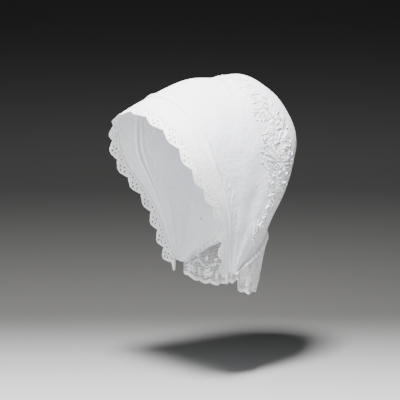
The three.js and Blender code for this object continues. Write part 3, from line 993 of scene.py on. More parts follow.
    def build(self) -> tuple[list[bpy.types.Object], np.ndarray]:
        """Makes the raised work of both sides.

        Returns:
            The pieces, and turn, s and radius in millimetres of each eyelet to open in the crown.
        """
        pieces, holes = [], []
        for side, name in ((1, "left"), (-1, "right")):
            place = GarlandPlace(self.cloth, side)
            strokes, eyelets = self.design()
            patches = [self.swelled(stroke).patch(place) for stroke in strokes]
            for rows in eyelets:
                patches.append(Rings(rows[:, :2], rows[:, 2] + 0.35, 0.5, 0.7).patch(place))
                turn, s = place.cap(rows[:, :2])
                holes.append(np.stack([turn, side * s, rows[:, 2]], -1))
            piece = mesh_object(f"garland_{name}", join(patches), self.finishes["thread"])
            hand_over(piece)
            pieces.append(piece)
        return pieces, np.concatenate(holes)


@dataclass
class Crown:
    """The main body of the cap: one fine grid over the fan with the eyelets of the whitework opened."""

    cloth: Cloth
    material: bpy.types.Material
    rows: int = 148
    columns: int = 330
    wall: float = 0.0006

    def build(self, holes: np.ndarray) -> bpy.types.Object:
        """Makes the crown.

        Args:
            holes: turn, s and radius in millimetres of each eyelet.

        Returns:
            The crown's piece.
        """
        sizes = self.cloth.fan.sizes
        turn = np.linspace(sizes.band_turn - 0.1, sizes.casing_turn + 0.3, self.rows)
        s = np.linspace(-1, 1, self.columns)
        turns, places = np.meshgrid(turn, s, indexing="ij")
        arch = self.cloth.fan.arch(turns)[3] / MM
        rho = self.cloth.fan.radius(turns, places) / MM * math.pi / 180
        faces = grid_faces(self.rows, self.columns)
        i = np.clip(np.rint((holes[:, 0] - turn[0]) / (turn[1] - turn[0])).astype(int), 2, self.rows - 3)
        j = np.clip(np.rint((holes[:, 1] - s[0]) / (s[1] - s[0])).astype(int), 2, self.columns - 3)
        around = np.array([[-1, -1], [-1, 0], [-1, 1], [0, 1], [1, 1], [1, 0], [1, -1], [0, -1]])
        row, column = i[:, None] + around[:, 0], j[:, None] + around[:, 1]
        angle = np.arctan2(around[:, 0] * 1.0, around[:, 1] * 1.0)
        reach = holes[:, 2][:, None]
        new_turn = holes[:, 0][:, None] + reach * np.sin(angle) / rho[i, j][:, None]
        new_place = holes[:, 1][:, None] + reach * np.cos(angle) / arch[i, j][:, None]
        turns[row, column] = new_turn
        places[row, column] = new_place
        centre = i * self.columns + j
        keep = ~np.isin(faces, centre).any(axis=1)
        points = self.cloth.place(turns, places).reshape(-1, 3)
        uv = np.stack([places * arch, np.radians(turns) * 200], -1).reshape(-1, 2)
        outward = self.cloth.fan.outward(turns, places).reshape(-1, 3)
        used = np.unique(faces[keep])
        renumber = np.zeros(len(points), dtype=int)
        renumber[used] = np.arange(len(used))
        patch = face_outward(Patch(points[used], [renumber[faces[keep]]], uv[used]), outward[used])
        piece = mesh_object("crown_cloth", patch, self.material)
        thicken(piece, self.wall)
        hand_over(piece, "crown")
        return piece


@dataclass
class Band:
    """The smooth band behind the lace, with a soft tuck toward its back edge and its rows of stitches.

    A row of the profile gives how far it lies from the lace's seam to the crown's, and its height as
    a share of the rise: it runs flat, dips into the front crease, swells into the tuck and dips into
    the back crease. A row of the lines gives s and where the two creases really lie there.
    """

    cloth: Cloth
    finishes: dict[str, bpy.types.Material]
    rise: float = 0.0034
    wall: float = 0.0005

    PROFILE = np.array([
        [0.00, 0.00], [0.30, 0.00], [0.54, 0.00], [0.595, -0.12], [0.630, -0.50], [0.650, -0.46],
        [0.675, 0.00], [0.710, 0.34], [0.760, 0.46], [0.820, 0.46], [0.865, 0.34], [0.895, 0.06],
        [0.920, -0.40], [0.945, -0.30], [0.975, 0.00], [1.00, 0.00], [1.04, -0.12],
    ])
    FRONT, BACK, END = 0.63, 0.92, 1.04
    LINES = np.array([
        [0.00, 0.63, 0.86], [0.12, 0.68, 0.87], [0.24, 0.75, 0.92], [0.33, 0.75, 0.97],
        [0.47, 0.68, 0.98], [0.60, 0.74, 0.98], [0.72, 0.66, 0.80], [0.88, 0.56, 0.66],
        [1.00, 0.56, 0.66],
    ])

    def lines(self, s: np.ndarray) -> tuple[np.ndarray, np.ndarray]:
        """The shares of the band's width at which the tuck's front and back creases lie at s."""
        fine = np.linspace(0, 1, 101)
        soft = window(13)
        front, back = [smoothed(np.interp(fine, self.LINES[:, 0], self.LINES[:, k]), soft) for k in (1, 2)]
        return np.interp(np.abs(s), fine, front), np.interp(np.abs(s), fine, back)

    def rise_at(self, share: np.ndarray, s: np.ndarray) -> np.ndarray:
        """The height of a share of the rise, in metres: more over the head, less where the tuck is narrow."""
        front, back = self.lines(s)
        over = np.interp(np.abs(s), [0.0, 0.32, 0.52], [1.7, 1.6, 1.0])
        return self.rise * over * share * np.clip((back - front) / (self.BACK - self.FRONT), 0.35, 1)

    def turn_at(self, at: np.ndarray, s: np.ndarray) -> np.ndarray:
        """The turn of a place on the profile, in straight runs between the seams and the two creases."""
        sizes = self.cloth.fan.sizes
        front, back = self.lines(s)
        inside = front + (at - self.FRONT) / (self.BACK - self.FRONT) * (back - front)
        behind = back + (at - self.BACK) / (self.END - self.BACK) * (self.END - back)
        share = np.where(at < self.FRONT, at / self.FRONT * front, np.where(at < self.BACK, inside, behind))
        return sizes.lace_turn + share * (sizes.band_turn - sizes.lace_turn)

    def top(self, turn: np.ndarray, s: np.ndarray) -> np.ndarray:
        """The height of the profile at a turn, for the stitches on it: turn_at worked backward."""
        sizes = self.cloth.fan.sizes
        share = (turn - sizes.lace_turn) / (sizes.band_turn - sizes.lace_turn)
        front, back = self.lines(s)
        inside = self.FRONT + (share - front) / (back - front) * (self.BACK - self.FRONT)
        behind = self.BACK + (share - back) / (self.END - back) * (self.END - self.BACK)
        at = np.where(share < front, share / front * self.FRONT, np.where(share < back, inside, behind))
        return self.rise_at(np.interp(at, self.PROFILE[:, 0], self.PROFILE[:, 1]), s)

    def build(self) -> list[bpy.types.Object]:
        """Makes the band and its stitches, and returns both pieces."""
        sizes = self.cloth.fan.sizes
        rows, columns = 66, 400
        knots = np.concatenate([[0], np.cumsum(np.hypot(*(np.diff(self.PROFILE, axis=0) * [1.0, 0.15]).T))])
        fine = np.linspace(0, knots[-1], rows)
        kernel = np.array([0.25, 0.5, 0.25])
        at, share = [smoothed(np.interp(fine, knots, self.PROFILE[:, k]), kernel) for k in (0, 1)]
        places = np.linspace(-1, 1, columns)[None] + np.zeros((rows, 1))
        turns = self.turn_at(at[:, None] + np.zeros((1, columns)), places)
        lift = self.rise_at(share[:, None], places)
        points = self.cloth.place(turns, places, lift).reshape(-1, 3)
        arch = self.cloth.fan.arch(turns)[3] / MM
        across = (fine / knots[-1] * 48)[:, None] + np.zeros_like(places)
        uv = np.stack([places * arch, across], -1).reshape(-1, 2)
        outward = self.cloth.fan.outward(turns, places).reshape(-1, 3)
        patch = face_outward(Patch(points, [grid_faces(rows, columns)], uv), outward)
        band = mesh_object("band_cloth", patch, self.finishes["band"])
        thicken(band, self.wall)
        hand_over(band, "front_band")
        lines = [(sizes.lace_turn + 0.6, 0.2), (sizes.band_turn - 0.45, 0.1)]
        patches = [stitch_row(self.cloth, at_turn, raised, self.top) for at_turn, raised in lines]
        stitches = mesh_object("band_stitches", join(patches), self.finishes["thread"])
        hand_over(stitches)
        return [band, stitches]


class ArchPlace(Placer):
    """Puts flat points along one arch: x along the arch in millimetres, y across it in millimetres."""

    def __init__(self, cloth: Cloth, turn: float, extra: object = None) -> None:
        """Keeps the arch; extra gives a further lift in metres at turn and s."""
        self.cloth, self.turn, self.extra = cloth, turn, extra
        self.length = cloth.fan.length(turn) / MM

    def __call__(self, flat: np.ndarray, lift: np.ndarray) -> np.ndarray:
        """Returns points in metres."""
        s = flat[:, 0] / self.length
        rho = np.maximum(self.cloth.fan.radius(np.full_like(s, self.turn), s) / MM, 12) * math.pi / 180
        turn = self.turn + flat[:, 1] / rho
        more = self.extra(turn, s) if self.extra is not None else 0.0
        return self.cloth.place(turn, s, lift * MM + more)


def stitch_row(cloth: Cloth, turn: float, lift: float, extra: object = None, pitch: float = 2.3) -> Patch:
    """A row of small running stitches along one arch.

    Args:
        cloth: the cloth that they are sewn in.
        turn: the arch that they follow.
        lift: how far they are raised, in millimetres.
        extra: a further lift of the surface there.
        pitch: from one stitch to the next.

    Returns:
        One patch with every stitch of the row.
    """
    place = ArchPlace(cloth, turn, extra)
    half = place.length - 6
    at = np.arange(-half, half, pitch)
    t = np.linspace(-0.5, 0.5, 4)
    paths = np.stack([at[:, None] + t * pitch * 0.66, np.zeros((len(at), 4))], -1)
    hump = np.array([0.5, 1.0, 1.0, 0.5])[None] * np.ones((len(at), 1))
    return Strokes(paths, 0.21 * hump, lift + 0.12 * hump, 5).patch(place)


class LacePlace(Placer):
    """Puts the flat front lace round the opening: x along its seam, y out from it toward the face."""

    def __init__(self, cloth: Cloth, width: float) -> None:
        """Keeps the cloth and the width of the lace in millimetres."""
        self.cloth, self.width = cloth, width
        self.turn = cloth.fan.sizes.lace_turn
        self.length = 2 * cloth.fan.length(self.turn) / MM

    def __call__(self, flat: np.ndarray, lift: np.ndarray) -> np.ndarray:
        """Returns points in metres: straight on from the seam, with a slow flutter at the free edge."""
        a, w = flat[:, 0], flat[:, 1]
        s = np.clip(a / (self.length / 2), -1, 1)
        turn = np.full_like(s, self.turn)
        back = self.cloth.fan.backward(self.turn)
        out = self.cloth.fan.outward(turn, s)
        out = out - (out @ back)[:, None] * back
        out /= np.linalg.norm(out, axis=1, keepdims=True)
        base = self.cloth.fan.point(turn, s)
        past = np.maximum(np.abs(a) - self.length / 2, 0) * MM
        angle = math.radians(self.turn)
        base[:, 1] -= past * math.sin(angle)
        base[:, 2] -= past * math.cos(angle)
        free = np.clip(w / self.width, 0, 1.1)
        flutter = 0.9 * np.sin(a / 21.0 + 0.7) + 0.7 * np.sin(a / 9.3) + 0.35 * np.sin(a / 4.1 + 2.0)
        rise = self.cloth.height(turn, s) / MM + lift + flutter * free**1.5 - 0.3
        return base + (-w * MM)[:, None] * back + (rise * MM)[:, None] * out


@dataclass
class FrontLace:
    """The eyelet edging: scallops cut and bound at their edge, eyelets with overcast rims, worked dots."""

    cloth: Cloth
    finishes: dict[str, bpy.types.Material]
    width: float = 16.5
    depth: float = 8.0
    top_depth: float = 5.5
    pitch: float = 28.5
    crowd: float = 0.14
    ripple: float = 0.5
    bore: float = 2.5
    tail: float = 13.0
    tail_width: float = 3.5
    wall: float = 0.0005

    EYELETS = np.array([
        [0.50, 0.78, 1.20],
        [0.33, 0.56, 1.00],
        [0.67, 0.56, 1.00],
        [0.50, 0.36, 1.00],
        [0.12, 0.24, 0.85],
        [0.88, 0.24, 0.85],
        [0.50, 0.575, 0.62],
        [0.30, 0.25, 0.55],
        [0.70, 0.25, 0.55],
    ])
    DOTS = np.array([[0.38, 0.36], [0.62, 0.36], [0.42, 0.74], [0.58, 0.74], [0.22, 0.42], [0.78, 0.42]])

    def count(self, length: float) -> int:
        """The number of scallops, even, so that a notch lies over the middle of the forehead."""
        return 2 * round(length / self.pitch / 2)

    def along(self, share: np.ndarray, length: float) -> np.ndarray:
        """The place along the seam of a share of the scallops, -1 to 1: wider over the forehead."""
        return length / 2 * share * (1 + self.crowd * (1 - share * share))

    def edge(self, share: np.ndarray) -> np.ndarray:
        """How far the lace reaches out from its seam: pointed scallops, with small ripples on them."""
        t = (share + 1) * self.scallops / 2 % 1
        depth = self.top_depth + (self.depth - self.top_depth) * np.abs(share)
        ripple = self.ripple * (1 - np.abs(np.sin(t * math.pi * 4)))
        return self.width - depth * np.abs(2 * t - 1) ** 1.4 - ripple

    def share_of(self, n: np.ndarray, t: np.ndarray) -> np.ndarray:
        """The share of the scallops at place t of scallop n."""
        return (n + t) * 2 / self.scallops - 1

    def layout(self, length: float) -> tuple[np.ndarray, np.ndarray, np.ndarray]:
        """Works out the flat lace.

        Args:
            length: length of its seam.

        Returns:
            Its front outline, and the eyelets' centres and radii.
        """
        self.scallops = self.count(length)
        n = np.arange(self.scallops)[:, None]
        share = self.share_of(n, np.linspace(0, 1, 25)[:-1]).ravel()
        front = np.stack([self.along(share, length), self.edge(share)], -1)
        table = self.EYELETS
        x = self.along(self.share_of(n, table[:, 0]), length)
        y = np.broadcast_to(self.width * table[:, 1], x.shape)
        radius = np.broadcast_to(self.bore / 2 * table[:, 2], x.shape)
        return front, np.stack([x.ravel(), y.ravel()], -1), radius.ravel()

    def outline(self, front: np.ndarray, length: float) -> np.ndarray:
        """Closes the outline of the lace: its seam, a loose end at each corner and its scallops."""
        end, notch = length / 2, self.width - self.depth
        loose = np.array([
            [0.35, notch * 0.95],
            [1.0, notch + self.tail_width * 0.5],
            [1.04, notch],
            [1.0, notch - self.tail_width * 0.5],
            [0.45, notch * 0.3],
        ])
        right = np.stack([end + loose[:, 0] * self.tail, loose[:, 1]], -1)
        left = np.stack([-end - loose[::-1, 0] * self.tail, loose[::-1, 1]], -1)
        seam_x = np.linspace(end, -end, 420)
        seam = np.stack([seam_x, np.zeros_like(seam_x)], -1)
        tip = np.array([[end, notch]])
        return np.concatenate([front, tip, right, seam, left])

    def sheet(self, place: LacePlace) -> Patch:
        """Fills the outline with triangles, leaves the eyelets open and sets it round the face."""
        length = place.length
        front, centres, radius = self.layout(length)
        border = self.outline(front, length)
        angle = np.arange(12) * math.pi / 6
        ray = np.stack([np.cos(angle), np.sin(angle)], -1)
        rims = centres[:, None] + radius[:, None, None] * ray[None]
        step = 1.9
        along, out = np.arange(-length / 2 + 1, length / 2, step), np.arange(1.2, self.width, step)
        x, y = np.meshgrid(along, out, indexing="ij")
        inner = np.stack([x.ravel() + 0.4 * (np.round(y.ravel() / step) % 2), y.ravel()], -1)
        far = np.linalg.norm(inner[:, None] - centres[None], axis=-1) > radius[None] + 0.6
        limit = np.interp(inner[:, 0], front[:, 0], front[:, 1])
        inner = inner[far.all(axis=1) & (inner[:, 1] < limit - 0.8)]
        points = np.concatenate([border, rims.reshape(-1, 2), inner])
        loop = lambda size: np.stack([np.arange(size), (np.arange(size) + 1) % size], -1)
        edges = [loop(len(border))]
        starts = len(border) + np.arange(len(centres)) * 12
        edges.append((loop(12)[None] + starts[:, None, None]).reshape(-1, 2))
        corners = [Vector(point) for point in points.tolist()]
        made = delaunay_2d_cdt(corners, np.concatenate(edges).tolist(), [], 1, 1e-5)
        flat = np.array([tuple(v) for v in made[0]])
        faces = np.array([tuple(f) for f in made[2] if len(f) == 3])
        middle = flat[faces].mean(axis=1)
        gap = np.linalg.norm(middle[:, None] - centres[None], axis=-1) < radius[None] * 0.97
        faces = faces[~gap.any(axis=1)]
        shape = place(flat, np.zeros(len(flat)))
        turn = np.full(len(flat), place.turn)
        outward = self.cloth.fan.outward(turn, np.clip(flat[:, 0] / (length / 2), -1, 1))
        return face_outward(Patch(shape, [faces], flat), outward)

    def build(self) -> list[bpy.types.Object]:
        """Makes the lace and its raised work, and returns both pieces."""
        place = LacePlace(self.cloth, self.width)
        sheet = mesh_object("front_lace_cloth", self.sheet(place), self.finishes["lace"])
        thicken(sheet, self.wall)
        hand_over(sheet, "front_lace")
        length = place.length
        front, centres, radius = self.layout(length)
        patches = []
        for size in np.unique(radius):
            pick = radius == size
            patches.append(Rings(centres[pick], radius[pick] + 0.15, 0.42, 0.42, 14, 6).patch(place))
        n = np.arange(self.scallops)[:, None]
        bound_edge, inner_line = (0, 1, 0.4, 0.8, 0.45, 6), (0.1, 0.9, 2.3, 0.32, 0.3, 5)
        for start, end, inset, half, height, sides in (bound_edge, inner_line):
            share = self.share_of(n, np.linspace(start, end, 40))
            path = np.stack([self.along(share, length), self.edge(share) - inset], -1)
            shape = path.shape[:2]
            patches.append(Strokes(path, np.full(shape, half), np.full(shape, height), sides).patch(place))
        dots_x = self.along(self.share_of(n, self.DOTS[:, 0]), length)
        dots = np.stack([dots_x, np.broadcast_to(self.width * self.DOTS[:, 1], dots_x.shape)], -1)
        patches.append(dot_strokes(dots.reshape(-1, 2), 0.75, 0.5).patch(place))
        bar = np.arange(-length / 2 + 3, length / 2 - 3, 2.0)
        bars = np.stack(np.broadcast_arrays(bar[:, None], np.linspace(0.4, 1.9, 4)[None]), -1)
        thin = np.full(bars.shape[:2], 0.32)
        patches.append(Strokes(bars, thin, thin, 5).patch(place))
        work = mesh_object("front_lace_stitching", join(patches), self.finishes["thread"])
        hand_over(work)
        return [sheet, work]


@dataclass
class NeckCasing:
    """The narrow casing round the neck edge, gathered, with a row of stitches on each side."""

    cloth: Cloth
    finishes: dict[str, bpy.types.Material]
    puff: float = 0.0026
    wall: float = 0.0006

    def lift(self, turn: np.ndarray, s: np.ndarray) -> np.ndarray:
        """The bulge of the casing between its seams, pinched by close gathers."""
        sizes = self.cloth.fan.sizes
        u = (turn - sizes.casing_turn) / (sizes.neck_turn - sizes.casing_turn)
        a = s * self.cloth.fan.length(sizes.neck_turn) / MM
        pinch = 0.62 + 0.38 * np.sin(a / 1.05 + 1.4 * np.sin(a / 7.0)) * np.clip((1 - np.abs(s)) * 5, 0, 1)
        return self.puff * np.sin(math.pi * np.clip(u, 0, 1)) ** 0.6 * pinch

    def build(self) -> list[bpy.types.Object]:
        """Makes the casing and its stitches, and returns both pieces."""
        sizes = self.cloth.fan.sizes
        rows, columns = 18, 560
        turn = np.linspace(sizes.casing_turn - 0.2, sizes.neck_turn, rows)
        turns, places = np.meshgrid(turn, np.linspace(-1, 1, columns), indexing="ij")
        points = self.cloth.place(turns, places, self.lift(turns, places) + 0.0001).reshape(-1, 3)
        arch = self.cloth.fan.arch(turns)[3] / MM
        uv = np.stack([places * arch, np.radians(turns) * 110], -1).reshape(-1, 2)
        outward = self.cloth.fan.outward(turns, places).reshape(-1, 3)
        patch = face_outward(Patch(points, [grid_faces(rows, columns)], uv), outward)
        casing = mesh_object("casing_cloth", patch, self.finishes["band"])
        thicken(casing, self.wall)
        hand_over(casing, "neck_casing")
        rows_at = [sizes.casing_turn + 0.5, sizes.neck_turn - 0.7]
        patches = [stitch_row(self.cloth, at, 0.2, self.lift, 2.0) for at in rows_at]
        stitches = mesh_object("casing_stitches", join(patches), self.finishes["thread"])
        hand_over(stitches)
        return [casing, stitches]


class FlouncePlace(Placer):
    """Puts the flat neck lace below the casing: x along the neck edge, y down from its seam."""

    def __init__(self, cloth: Cloth, drop: float, side: float, lean: float, rise: float,
                 pitch: float) -> None:
        """Keeps the sizes of the flounce in millimetres, as in the solid model."""
        self.cloth = cloth
        self.drop_back, self.drop_side, self.lean, self.rise = drop, side, lean, rise
        self.turn = cloth.fan.sizes.neck_turn
        self.length = 2 * cloth.fan.length(self.turn) / MM
        self.flutes = round(self.length / pitch)

    def drop(self, x: np.ndarray) -> np.ndarray:
        """How far the lace hangs at x: short at the ear corners, long at the nape."""
        centre = 1 - np.clip(x / (self.length / 2), -1, 1) ** 2
        return self.drop_side + (self.drop_back - self.drop_side) * np.sin(centre * math.pi / 2) ** 1.1

    def __call__(self, flat: np.ndarray, lift: np.ndarray) -> np.ndarray:
        """Returns points in metres: straight down, leaning in, with flutes that open toward the hem."""
        s = np.clip(flat[:, 0] / (self.length / 2), -0.999, 0.999)
        turn = np.full_like(s, self.turn)
        drop = self.drop(flat[:, 0])
        q = flat[:, 1] / drop
        back = self.cloth.fan.backward(self.turn)
        out = self.cloth.fan.outward(turn, s)
        out = out - (out @ back)[:, None] * back
        out /= np.linalg.norm(out, axis=1, keepdims=True)
        level = out * np.array([1, 1, 0])
        level /= np.linalg.norm(level, axis=1, keepdims=True)
        centre = 1 - s * s
        open_ = np.clip(q, 0, 1.1) * np.minimum(1, drop / self.drop_back + 0.3)
        wave = self.rise * open_ * np.cos(s * self.flutes * math.pi)
        wave += 0.8 * open_ * np.sin(s * self.flutes * math.pi * 2.3 + 1.0)
        shift = wave - self.lean * centre * np.abs(q) ** 1.3
        relief = self.cloth.fan.relief(turn, s)
        point = self.cloth.fan.point(turn, s) + out * (relief + (0.6 + lift) * MM)[:, None]
        point = point + level * (shift * MM)[:, None]
        point[:, 2] -= flat[:, 1] * MM
        return point


@dataclass
class NeckLace:
    """The net lace flounce: six-sided meshes, a dense worked border of flowers and leaves, a bound hem."""

    cloth: Cloth
    finishes: dict[str, bpy.types.Material]
    drop: float = 62.5
    side: float = 15.0
    lean: float = 18.0
    rise: float = 3.2
    flute: float = 30.0
    mesh: float = 1.95
    hem_pitch: float = 15.0
    hem_depth: float = 2.6
    wall: float = 0.00034
    repeat: float = 24.0

    COVERED = 0.985
    FLOWER_UP = 12.5

    def hem(self, place: FlouncePlace, x: np.ndarray) -> np.ndarray:
        """The line of the scalloped hem: the drop at x less the notch between two small scallops."""
        count = round(place.length / self.hem_pitch)
        s = x / (place.length / 2)
        return place.drop(x) - self.hem_depth * (1 - np.abs(np.cos(s * count * math.pi / 2)))

    def worked(self, x: np.ndarray, up: np.ndarray) -> np.ndarray:
        """How closely worked the net is at x and at a height above the hem: 0 open, 1 solid.

        Flowers with rippled outlines, leaves on an arched stem and small sprigs above repeat
        along the border.
        """
        u = (x / self.repeat) % 1 * self.repeat - self.repeat / 2
        v = up - self.FLOWER_UP
        radius, angle = np.hypot(u, v), np.arctan2(v, u)
        flower = (radius < 5.4 + 1.5 * np.cos(6 * angle)) & (radius > 1.4)
        half = ((x / self.repeat + 0.5) % 1 - 0.5) * self.repeat
        leaf = np.abs(half) < 2.6 * bell((up - 11.5) / 8.0)
        arch = np.abs(up - (24.0 + 3.0 * np.cos(2 * math.pi * x / self.repeat))) < 1.3
        shift = ((x / self.repeat * 2 + 0.5) % 1 - 0.5) * self.repeat / 2
        sprig = np.hypot(shift, up - 32.0) < 2.2
        high = np.hypot(((x / self.repeat + 0.25) % 1 - 0.5) * self.repeat, up - 44.0) < 1.7
        low = up < 3.2
        return (flower | leaf | arch | sprig | high | low).astype(float)

    def net(self, place: FlouncePlace) -> Patch:
        """Lays six-sided meshes over the flounce, with filled ones where it is worked."""
        size = self.mesh / math.sqrt(3)
        half = place.length / 2 * self.COVERED
        columns = np.arange(-half, half, size * 1.5)
        rows = np.arange(-1, int(self.drop / self.mesh) + 2)
        i, j = np.meshgrid(np.arange(len(columns)), rows, indexing="ij")
        x = columns[i]
        y = (j + 0.5 * (i % 2)) * self.mesh + 0.4
        up = self.hem(place, x) - y
        inside = (y > 0.2) & (up > 0.6)
        x, y, up = x[inside], y[inside], up[inside]
        angle = np.arange(6) * math.pi / 3
        ray = np.stack([np.cos(angle), np.sin(angle)], -1)
        centre = np.stack([x, y], -1)
        outer = centre[:, None] + size * ray[None]
        key = np.round(outer.reshape(-1, 2) / 0.02).astype(np.int64)
        corner = key[:, 0] * 1000003 + key[:, 1]
        _, first, index = np.unique(corner, return_index=True, return_inverse=True)
        shared = outer.reshape(-1, 2)[first]
        index = index.reshape(-1, 6)
        solid = self.worked(x, up) > 0.5
        dense = np.clip(1 - (up - 20) / 30, 0, 1)
        open_share = np.where(solid, 0.34, 0.89 - 0.10 * dense)
        inner = centre[:, None] + (size * open_share)[:, None, None] * ray[None]
        base = len(shared) + np.arange(len(centre))[:, None] * 6 + np.arange(6)
        nxt = np.roll(np.arange(6), -1)
        quads = np.stack([index, index[:, nxt], base[:, nxt], base], -1).reshape(-1, 4)
        flat = np.concatenate([shared, inner.reshape(-1, 2)])
        points = place(flat, np.zeros(len(flat)))
        outward = self.cloth.fan.outward(np.full(len(flat), place.turn), flat[:, 0] / (place.length / 2))
        return face_outward(Patch(points, [quads], flat), outward)

    def build(self) -> list[bpy.types.Object]:
        """Makes the net and its raised work, and returns both pieces."""
        place = FlouncePlace(self.cloth, self.drop, self.side, self.lean, self.rise, self.flute)
        net = mesh_object("neck_lace_net", self.net(place), self.finishes["net"])
        thicken(net, self.wall)
        hand_over(net, "neck_lace")
        half = place.length / 2 * self.COVERED
        x = np.arange(-half, half, 0.8)
        hem = np.stack([x, self.hem(place, x)], -1)
        top = np.stack([x, np.full_like(x, 0.7)], -1)
        above = np.stack([x, self.hem(place, x) - 2.6], -1)
        patches = [
            cord_paths(hem, 1.0, 0.6).patch(place),
            cord_paths(top, 0.9, 0.4).patch(place),
            cord_paths(above, 0.5, 0.45, 5).patch(place),
        ]
        start = (np.floor(-half / self.repeat) + np.arange(round(2 * half / self.repeat) + 2)) * self.repeat
        centre_x = start + self.repeat / 2
        centre_y = self.hem(place, centre_x) - self.FLOWER_UP
        keep = (np.abs(centre_x) < half - 6) & (centre_y > 8)
        flowers = np.stack([centre_x[keep], centre_y[keep]], -1)
        root, tip = ring_of(flowers, np.full(len(flowers), 1.6), np.full(len(flowers), 7.0), 6)
        patches.append(leaf_strokes(root, tip, 1.0, 0.4).patch(place))
        patches.append(Rings(flowers, np.full(len(flowers), 1.5), 0.4, 0.35).patch(place))
        work = mesh_object("neck_lace_cordonnet", join(patches), self.finishes["thread"])
        hand_over(work)
        return [net, work]


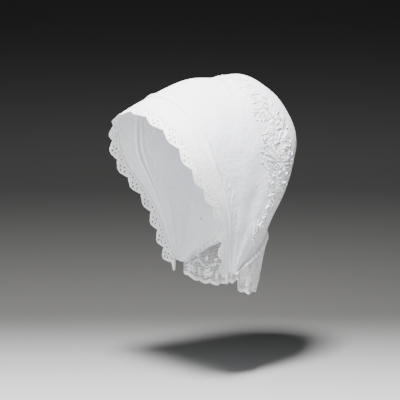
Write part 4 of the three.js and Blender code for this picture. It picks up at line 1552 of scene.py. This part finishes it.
@dataclass(frozen=True)
class Studio:
    """The floor, pale near the cap and darkened by painted shade up the curve behind it, the soft lights and
    the camera.
    """

    azimuth: float = 55.0
    elevation: float = 7.0
    distance: float = 1.8
    field: float = 0.52
    floor_z: float = -0.385

    def floor(self) -> None:
        """A floor that rises behind the cap in one wide curve; its colour is pale near the cap and painted
        darker up the curve to near black, a painted falloff of light.
        """
        material = bpy.data.materials.new("floor_painted_falloff")
        material.use_nodes = True
        kit = NodeKit(material.node_tree)
        shader = material.node_tree.nodes["Principled BSDF"]
        place = kit.add("ShaderNodeUVMap", uv_map="cloth")
        split = kit.add("ShaderNodeSeparateXYZ")
        kit.link(place.outputs["UV"], split.inputs[0])
        falloff_mixes = []
        # Painted shade: the floor's colour falls from pale grey near the cap to near black up the curve, in
        # place of the light's falloff.
        painted_falloff = ((-0.02, 0.045, (0.062, 0.061, 0.058, 1)), (0.24, 0.40, (0.004, 0.004, 0.004, 1)))
        for start, end, tone in painted_falloff:
            fade = kit.add("ShaderNodeMapRange", interpolation_type="SMOOTHSTEP")
            fade.inputs["From Min"].default_value = start
            fade.inputs["From Max"].default_value = end
            kit.link(split.outputs[1], fade.inputs["Value"])
            falloff_mix = kit.add("ShaderNodeMix", data_type="RGBA")
            falloff_mix.inputs["B"].default_value = tone
            kit.link(fade.outputs["Result"], falloff_mix.inputs["Factor"])
            falloff_mixes.append(falloff_mix)
        falloff_mixes[0].inputs["A"].default_value = (0.40, 0.40, 0.39, 1)
        kit.link(falloff_mixes[0].outputs["Result"], falloff_mixes[1].inputs["A"])
        kit.link(falloff_mixes[1].outputs["Result"], shader.inputs["Base Color"])
        shader.inputs["Roughness"].default_value = 0.9
        across = np.linspace(-6, 6, 3)
        flat_end, bend = 2.2, 1.6
        curve = np.linspace(0.1, 1, 12) * math.pi / 2
        away = np.concatenate([np.linspace(-6, flat_end, 6), flat_end + bend * np.sin(curve), [3.8]])
        rise = np.concatenate([np.zeros(6), bend * (1 - np.cos(curve)), [5.0]])
        a = math.radians(self.azimuth)
        side = np.array([math.cos(a), math.sin(a), 0.0])
        behind = np.array([-math.sin(a), math.cos(a), 0.0])
        points = (
            across[None, :, None] * side
            + away[:, None, None] * behind
            + (rise + self.floor_z)[:, None, None] * np.array([0.0, 0.0, 1.0])
        ).reshape(-1, 3)
        faces = grid_faces(len(away), len(across))
        path = (away + rise)[:, None] + np.zeros(len(across))
        uv = np.stack([np.broadcast_to(across, path.shape), path], -1).reshape(-1, 2)
        up = np.broadcast_to(np.array([0.0, 0.0, 1.0]) - behind * 0.5, points.shape)
        patch = face_outward(Patch(points, [faces], uv), up)
        mesh_object("studio_floor", patch, material)

    def lamp(self, name: str, place: tuple[float, float, float], size: float, power: float,
             colour: tuple[float, float, float], aim: Vector) -> None:
        """Adds one soft square light that looks at a point."""
        light = bpy.data.lights.new(name, "AREA")
        light.size = size
        light.energy = power
        light.color = colour
        lamp = bpy.data.objects.new(name, light)
        lamp.location = place
        lamp.rotation_euler = (aim - Vector(place)).to_track_quat("-Z", "Y").to_euler()
        bpy.context.scene.collection.objects.link(lamp)

    def build(self, target: Vector) -> None:
        """Sets up everything round the cap.

        Args:
            target: the point at the middle of the picture.
        """
        self.floor()
        a, e = math.radians(self.azimuth), math.radians(self.elevation)
        toward = Vector((math.sin(a) * math.cos(e), -math.cos(a) * math.cos(e), math.sin(e)))
        right = Vector((math.cos(a), math.sin(a), 0))
        up = Vector((0, 0, 1))
        data = bpy.data.cameras.new("camera")
        data.sensor_width = 36.0
        data.lens = 36.0 * self.distance / self.field
        data.dof.use_dof = False
        camera = bpy.data.objects.new("camera", data)
        camera.location = target + toward * self.distance
        camera.rotation_euler = (-toward).to_track_quat("-Z", "Y").to_euler()
        bpy.context.scene.collection.objects.link(camera)
        bpy.context.scene.camera = camera
        aim = target + Vector((0, 0, 0.03))
        spot = lambda x, y, z: tuple(target + right * x + toward * y + up * z)
        self.lamp("key", spot(-0.15, 0.72, 1.4), 0.32, 158.0, (0.985, 0.985, 1.0), aim)
        self.lamp("front", spot(-1.0, 1.6, 0.35), 0.8, 30.0, (0.96, 0.975, 1.0), aim)
        self.lamp("fill", spot(1.4, 1.0, 0.5), 1.0, 1.5, (0.94, 0.96, 1.0), aim)
        world = bpy.data.worlds.new("studio")
        world.use_nodes = True
        world.node_tree.nodes["Background"].inputs["Color"].default_value = (0.40, 0.42, 0.47, 1)
        world.node_tree.nodes["Background"].inputs["Strength"].default_value = 0.18
        bpy.context.scene.world = world


def main() -> None:
    """Builds the cap piece by piece, then the studio."""
    logging.basicConfig(level=logging.INFO, format="%(name)s %(message)s", force=True)
    effects = SharedEffects()
    chosen = Finishes()
    finishes = {
        "batiste": chosen.batiste.material(effects),
        "band": chosen.band.material(effects),
        "lace": chosen.lace.material(effects),
        "thread": chosen.thread.material(effects),
        "net": chosen.net.material(effects),
    }
    fan = Fan(FanSizes())
    cloth = Cloth(fan)
    garlands, holes = Garland(cloth, finishes).build()
    crown = Crown(cloth, finishes["batiste"]).build(holes)
    band, band_stitches = Band(cloth, finishes).build()
    lace, lace_work = FrontLace(cloth, finishes).build()
    casing, casing_stitches = NeckCasing(cloth, finishes).build()
    net, net_work = NeckLace(cloth, finishes).build()
    corner = Vector((0, fan.corner_y, fan.corner_z))
    Studio().build(corner + Vector((0, -0.0082, 0.0886)))


if __name__ == "__main__":
    main()
